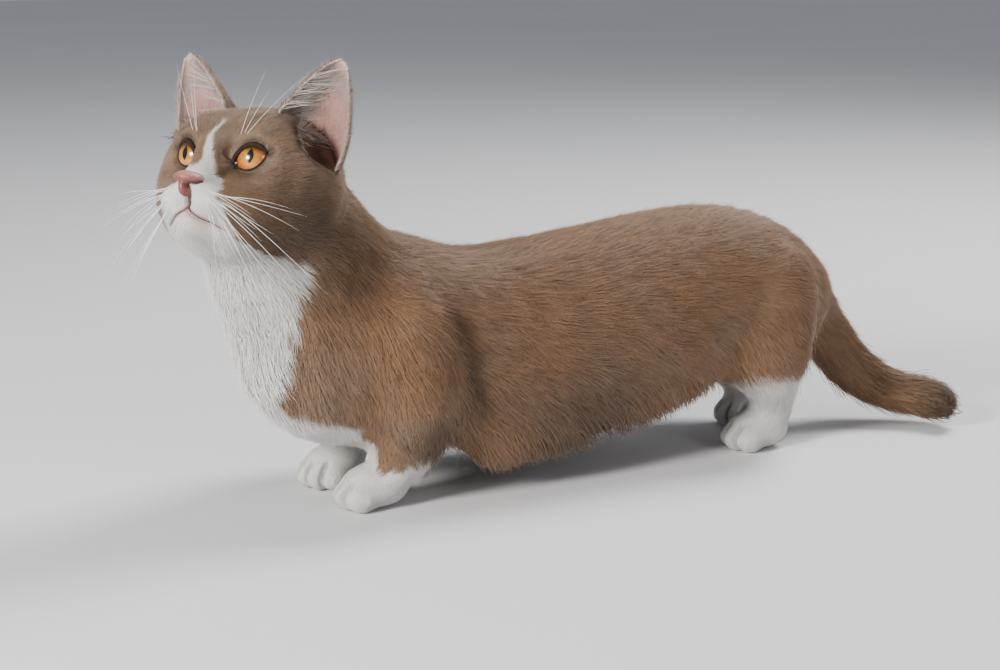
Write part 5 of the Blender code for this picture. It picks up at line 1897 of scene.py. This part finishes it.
def ear_inner(places, normals, cup, side):
    """1 on the ear's inner face and 0 on its back."""
    middle, spine, _ = ear_edges(side)
    chord = out_of_frame(middle + cup[:, 1:2] * spine, head_matrix())
    return soft(np.sum((chord - places) * normals, axis=1), -0.0002, 0.0006)


def ear_marks(cup, inner):
    """Marks and strand of the ear's wall: pink inside, painted shade deep in the cup and lower on its inner
    face, pale rim, fawn back.
    """
    across, up = cup[:, 0], cup[:, 1]
    rim = np.maximum(soft(np.abs(across), 0.9, 0.98), soft(up, 0.92, 0.97))
    deep = soft(up, 0.34, 0.02) * soft(np.abs(across), 1.0, 0.55)
    furred = soft(across, -0.3, -0.75)
    pink = inner * (0.88 - 0.55 * furred) * (1 - 0.7 * rim) * (1 - 0.55 * soft(up, 0.5, 0.85)) + 0.25 * rim
    # Painted shade deep in the cup and lower down on the inner face.
    shade = np.maximum(inner * 0.8 * deep, 0.15 * (1 - inner))
    shade = np.maximum(shade, inner * 0.3 * soft(up, 0.6, 0.3))
    white = 0.5 * rim + inner * 0.22 * np.maximum(furred, soft(up, 0.5, 0.85))
    marks = np.stack((white, shade * (1 - 0.8 * rim), np.full(len(up), 0.5)), axis=1)
    strand = np.stack((np.full(len(up), 0.55), np.full(len(up), 0.5), pink), axis=1)
    return marks, strand


def coat_roots(weigh, count, seed):
    """Roots over the skin, by a weight of its places, and the tree that tufts follow it with."""
    surface = read_mesh(bpy.data.objects["skin"])
    weight = weigh(surface["places"][surface["triangles"]].mean(axis=1))
    roots = sample_roots(surface, weight, count, seed)
    return kept(roots, ~bare_of_coat(roots["places"])), tree_of(surface)


def grow_coat(name, weigh, count, seed, part_size, widths, heights, seeds, **finer_points):
    """Grows short coat in pieces of at most a number of tufts, each as wide as its length asks."""
    roots, tree = coat_roots(weigh, count, seed)
    for number, part in enumerate(split_roots(roots, part_size)):
        length = coat_length(part["places"])
        grow_tufts(
            f"{name}_{number + 1}", part, lie_field(part["places"], part["normals"]), length, widths(length),
            heights, seeds[0] + seeds[1] * number, tree, **finer_points)


class CAT_OT_head_coat(bpy.types.Operator):
    """Grows the short coat of the head."""

    bl_idname = "cat.head_coat"
    bl_label = "Head coat"

    def execute(self, context):
        sizes = context.scene.cat_sizes

        def weigh(places):
            return soft(above_cut(places), -0.006, 0.01) / coat_length(places) ** 0.75

        def widths(length):
            return sizes.head_width * (0.72 + 0.55 * soft(length, 0.0015, 0.006))

        grow_coat("head_coat", weigh, sizes.head_tufts, 21, 45000, widths, (0.1, 0.19), (210, 1), sunk=0.0003)
        return {"FINISHED"}


class CAT_OT_body_coat(bpy.types.Operator):
    """Grows the coat of the neck, trunk and tail."""

    bl_idname = "cat.body_coat"
    bl_label = "Body coat"

    def execute(self, context):
        sizes = context.scene.cat_sizes

        def weigh(places):
            fore, hind, _ = foot_masks(places)
            share = soft(above_cut(places), 0.01, -0.006) * (1 - np.maximum(fore, hind))
            return share * (0.0095 / coat_length(places)) ** 0.5

        def widths(length):
            return sizes.body_width

        grow_coat("body_coat", weigh, sizes.body_tufts, 31, 48000, widths, (0.13, 0.2), (310, 7))
        return {"FINISHED"}


class CAT_OT_leg_coat(bpy.types.Operator):
    """Grows the shorter coat of the legs and paws."""

    bl_idname = "cat.leg_coat"
    bl_label = "Leg coat"

    def execute(self, context):
        sizes = context.scene.cat_sizes

        def weigh(places):
            fore, hind, _ = foot_masks(places)
            return np.maximum(fore, hind) / coat_length(places) ** 0.6

        def widths(length):
            return sizes.body_width * (0.62 + 0.38 * soft(length, 0.003, 0.009))

        grow_coat("leg_coat", weigh, sizes.leg_tufts, 41, 48000, widths, (0.11, 0.19), (410, 7))
        return {"FINISHED"}


class CAT_OT_long_coat(bpy.types.Operator):
    """Grows the long tufts of the belly fringe, bib, elbows, breeches and tail."""

    bl_idname = "cat.long_coat"
    bl_label = "Long coat"

    def execute(self, context):
        sizes = context.scene.cat_sizes
        for number, (name, place, reach, share, length, lift, hug, fall, lean) in enumerate(LONG_PLACES):

            def weigh(places):
                fore, hind, paw = foot_masks(places)
                outwards = np.stack((places[:, 0], np.abs(places[:, 1]), places[:, 2]), axis=1)
                away = lengths_of((outwards - np.array(place)) / np.array(reach))
                return soft(away, 1.0, 0.55) * (1 - 0.92 * np.maximum(fore, hind)) * (1 - paw)

            roots, tree = coat_roots(weigh, int(sizes.long_tufts * share), 51 + number)
            ones, outwards = np.ones(len(roots["places"])), np.sign(roots["places"][:, 1])
            lie = lie_field(roots["places"], roots["normals"])
            lie = lie + np.array(lean) * np.stack((ones, outwards, ones), axis=1)
            lie = unit(lie)
            grow_tufts(
                name, roots, lie, np.full(len(lie), length), sizes.body_width * 1.15, lift, 510 + 7 * number,
                tree, hug, rings=3, stray=0.1, gravity=fall)
        return {"FINISHED"}


class CAT_OT_whiskers(bpy.types.Operator):
    """Sets the whiskers of the muzzle and brows."""

    bl_idname = "cat.whiskers"
    bl_label = "Whiskers"

    def execute(self, context):
        sizes = context.scene.cat_sizes
        draw = np.random.default_rng(81)
        matrix = head_matrix()
        turn = matrix.to_3x3()
        lines = []
        for side in (1, -1):
            for forward, outward, height, lean in WHISKER_ROWS:
                for column in range(WHISKERS_IN_ROW):
                    share = column / (WHISKERS_IN_ROW - 1)
                    aside = (outward + 0.004 * share) * side
                    place = (forward - 0.0085 * share, aside, height - 0.0006 * share)
                    start = matrix @ Vector(onto_head([place])[0])
                    aim = Vector(lean[0]).lerp(Vector(lean[1]), share)
                    aim += Vector(draw.normal(0, 0.1, 3).tolist())
                    aim = turn @ Vector((aim.x, aim.y * side, aim.z))
                    length = sizes.whisker_length * draw.uniform(0.5, 1.0) * (0.7 + 0.3 * share)
                    sag = Vector((0, 0, -1)) * draw.uniform(0.04, 0.22)
                    curl = turn @ Vector((-0.1, 0.02 * side, 0.02)) * draw.uniform(0.2, 1.5)
                    lines.append(self.whisker(start, aim, length, sag, curl, sizes.whisker_width))
            for place, aim, length in BROW_WHISKERS:
                start = matrix @ Vector(onto_head([mirrored(place, side)])[0])
                aim = turn @ mirrored(aim, side)
                curl = turn @ Vector((-0.12, 0.05 * side, 0.0)) * draw.uniform(0.4, 1.4)
                length *= draw.uniform(0.9, 1.1)
                lines.append(self.whisker(start, aim, length, Vector((0, 0, 0)), curl, BROW_WIDTH))
        white, tree, shader = new_material("whisker", 0.32)
        tint = mixed(tree, noise(tree, 60.0), WHISKER_COLOURS[0], WHISKER_COLOURS[1])
        coloured(tree, shader, tint)
        shader.inputs["Specular IOR Level"].default_value = 0.6
        finished(tubes("whiskers", lines, white, 1), "white_coat")
        return {"FINISHED"}

    def whisker(self, start, aim, length, sag, curl, width):
        """Points and radii of one whisker, kept behind the furthest place forward."""
        aim = Vector(aim).normalized()
        points = bent_line(start - aim * 0.0015, aim, length, sag, curl)
        over = WHISKER_REACH - min(point.x for point in points)
        if over > 0:
            points = bent_line(start - aim * 0.0015, aim, length - 1.25 * over, sag, curl)
        count = len(points)
        return points, [width / 2 * (1 - 0.88 * (i / (count - 1)) ** 1.3) for i in range(count)]


class CAT_OT_stage(bpy.types.Operator):
    """Lays the pale floor, and sets the soft studio lights and the camera."""

    bl_idname = "cat.stage"
    bl_label = "Stage"

    def execute(self, context):
        scene = context.scene
        bag = bmesh.new()
        bmesh.ops.create_grid(bag, x_segments=40, y_segments=40, size=6.0)
        bag.transform(Matrix.Translation((0, 0, -0.00005)))
        floor = object_from(bag, "floor", scene.collection)
        paper, tree, shader = new_material("pale_floor", 0.8)
        cloud = noise(tree, 3.0, 2.0)
        coloured(tree, shader, mixed(tree, cloud, FLOOR_COLOURS[0], FLOOR_COLOURS[1]))
        bumped(tree, shader, noise(tree, 700.0, 2.0), 0.04, 0.0005)
        floor.data.materials.append(paper)
        for name, direction, away, size, power, colour in LIGHTS:
            lamp = bpy.data.lights.new(name, "AREA")
            lamp.shape = "DISK"
            lamp.size = size
            lamp.energy = power
            lamp.color = colour
            placed = bpy.data.objects.new(name, lamp)
            placed.location = Vector(STAGE_MIDDLE) + Vector(direction).normalized() * away
            placed.rotation_euler = Vector(direction).to_track_quat("Z", "Y").to_euler()
            scene.collection.objects.link(placed)
        world = bpy.data.worlds.new("studio")
        world.use_nodes = True
        back = world.node_tree.nodes["Background"]
        set_inputs(back, ("Color", (*WORLD_COLOUR, 1.0)), ("Strength", WORLD_STRENGTH))
        scene.world = world
        azimuth, elevation = (math.radians(angle) for angle in CAMERA_ANGLES)
        level = math.cos(elevation)
        backwards = Vector((math.sin(azimuth) * level, -math.cos(azimuth) * level, math.sin(elevation)))
        view = bpy.data.cameras.new("camera")
        view.lens = CAMERA_LENS
        view.sensor_width = 36.0
        view.clip_start = 0.01
        camera = bpy.data.objects.new("camera", view)
        camera.location = Vector(CAMERA_TARGET) + backwards * CAMERA_DISTANCE
        camera.rotation_euler = (-backwards).to_track_quat("-Z", "Y").to_euler()
        scene.collection.objects.link(camera)
        scene.camera = camera
        return {"FINISHED"}


class CAT_PT_pieces(bpy.types.Panel):
    """Lists the pieces of the cat."""

    bl_idname = "CAT_PT_pieces"
    bl_label = "Short-legged cat"
    bl_space_type = "VIEW_3D"
    bl_region_type = "UI"
    bl_category = "Cat"

    def draw(self, context):
        for piece in PIECES:
            self.layout.operator(piece.bl_idname)
        for group in (context.scene.cat_colours, context.scene.cat_sizes):
            for name in group.bl_rna.properties.keys():
                if name not in ("rna_type", "name"):
                    self.layout.prop(group, name)


# The operators, in the order in which they run.
PIECES = (
    CAT_OT_skin, CAT_OT_eyes, CAT_OT_lids, CAT_OT_nose, CAT_OT_mouth, CAT_OT_ears, CAT_OT_head_coat,
    CAT_OT_body_coat, CAT_OT_leg_coat, CAT_OT_long_coat, CAT_OT_whiskers, CAT_OT_stage,
)
CLASSES = (CatColours, CatSizes, *PIECES, CAT_PT_pieces)


def register():
    for kind in CLASSES:
        bpy.utils.register_class(kind)
    bpy.types.Scene.cat_colours = PointerProperty(type=CatColours)
    bpy.types.Scene.cat_sizes = PointerProperty(type=CatSizes)


def unregister():
    del bpy.types.Scene.cat_colours
    del bpy.types.Scene.cat_sizes
    for kind in reversed(CLASSES):
        bpy.utils.unregister_class(kind)


def main():
    register()
    for piece in PIECES:
        getattr(bpy.ops.cat, piece.bl_idname.split(".")[1])()


if __name__ == "__main__":
    main()
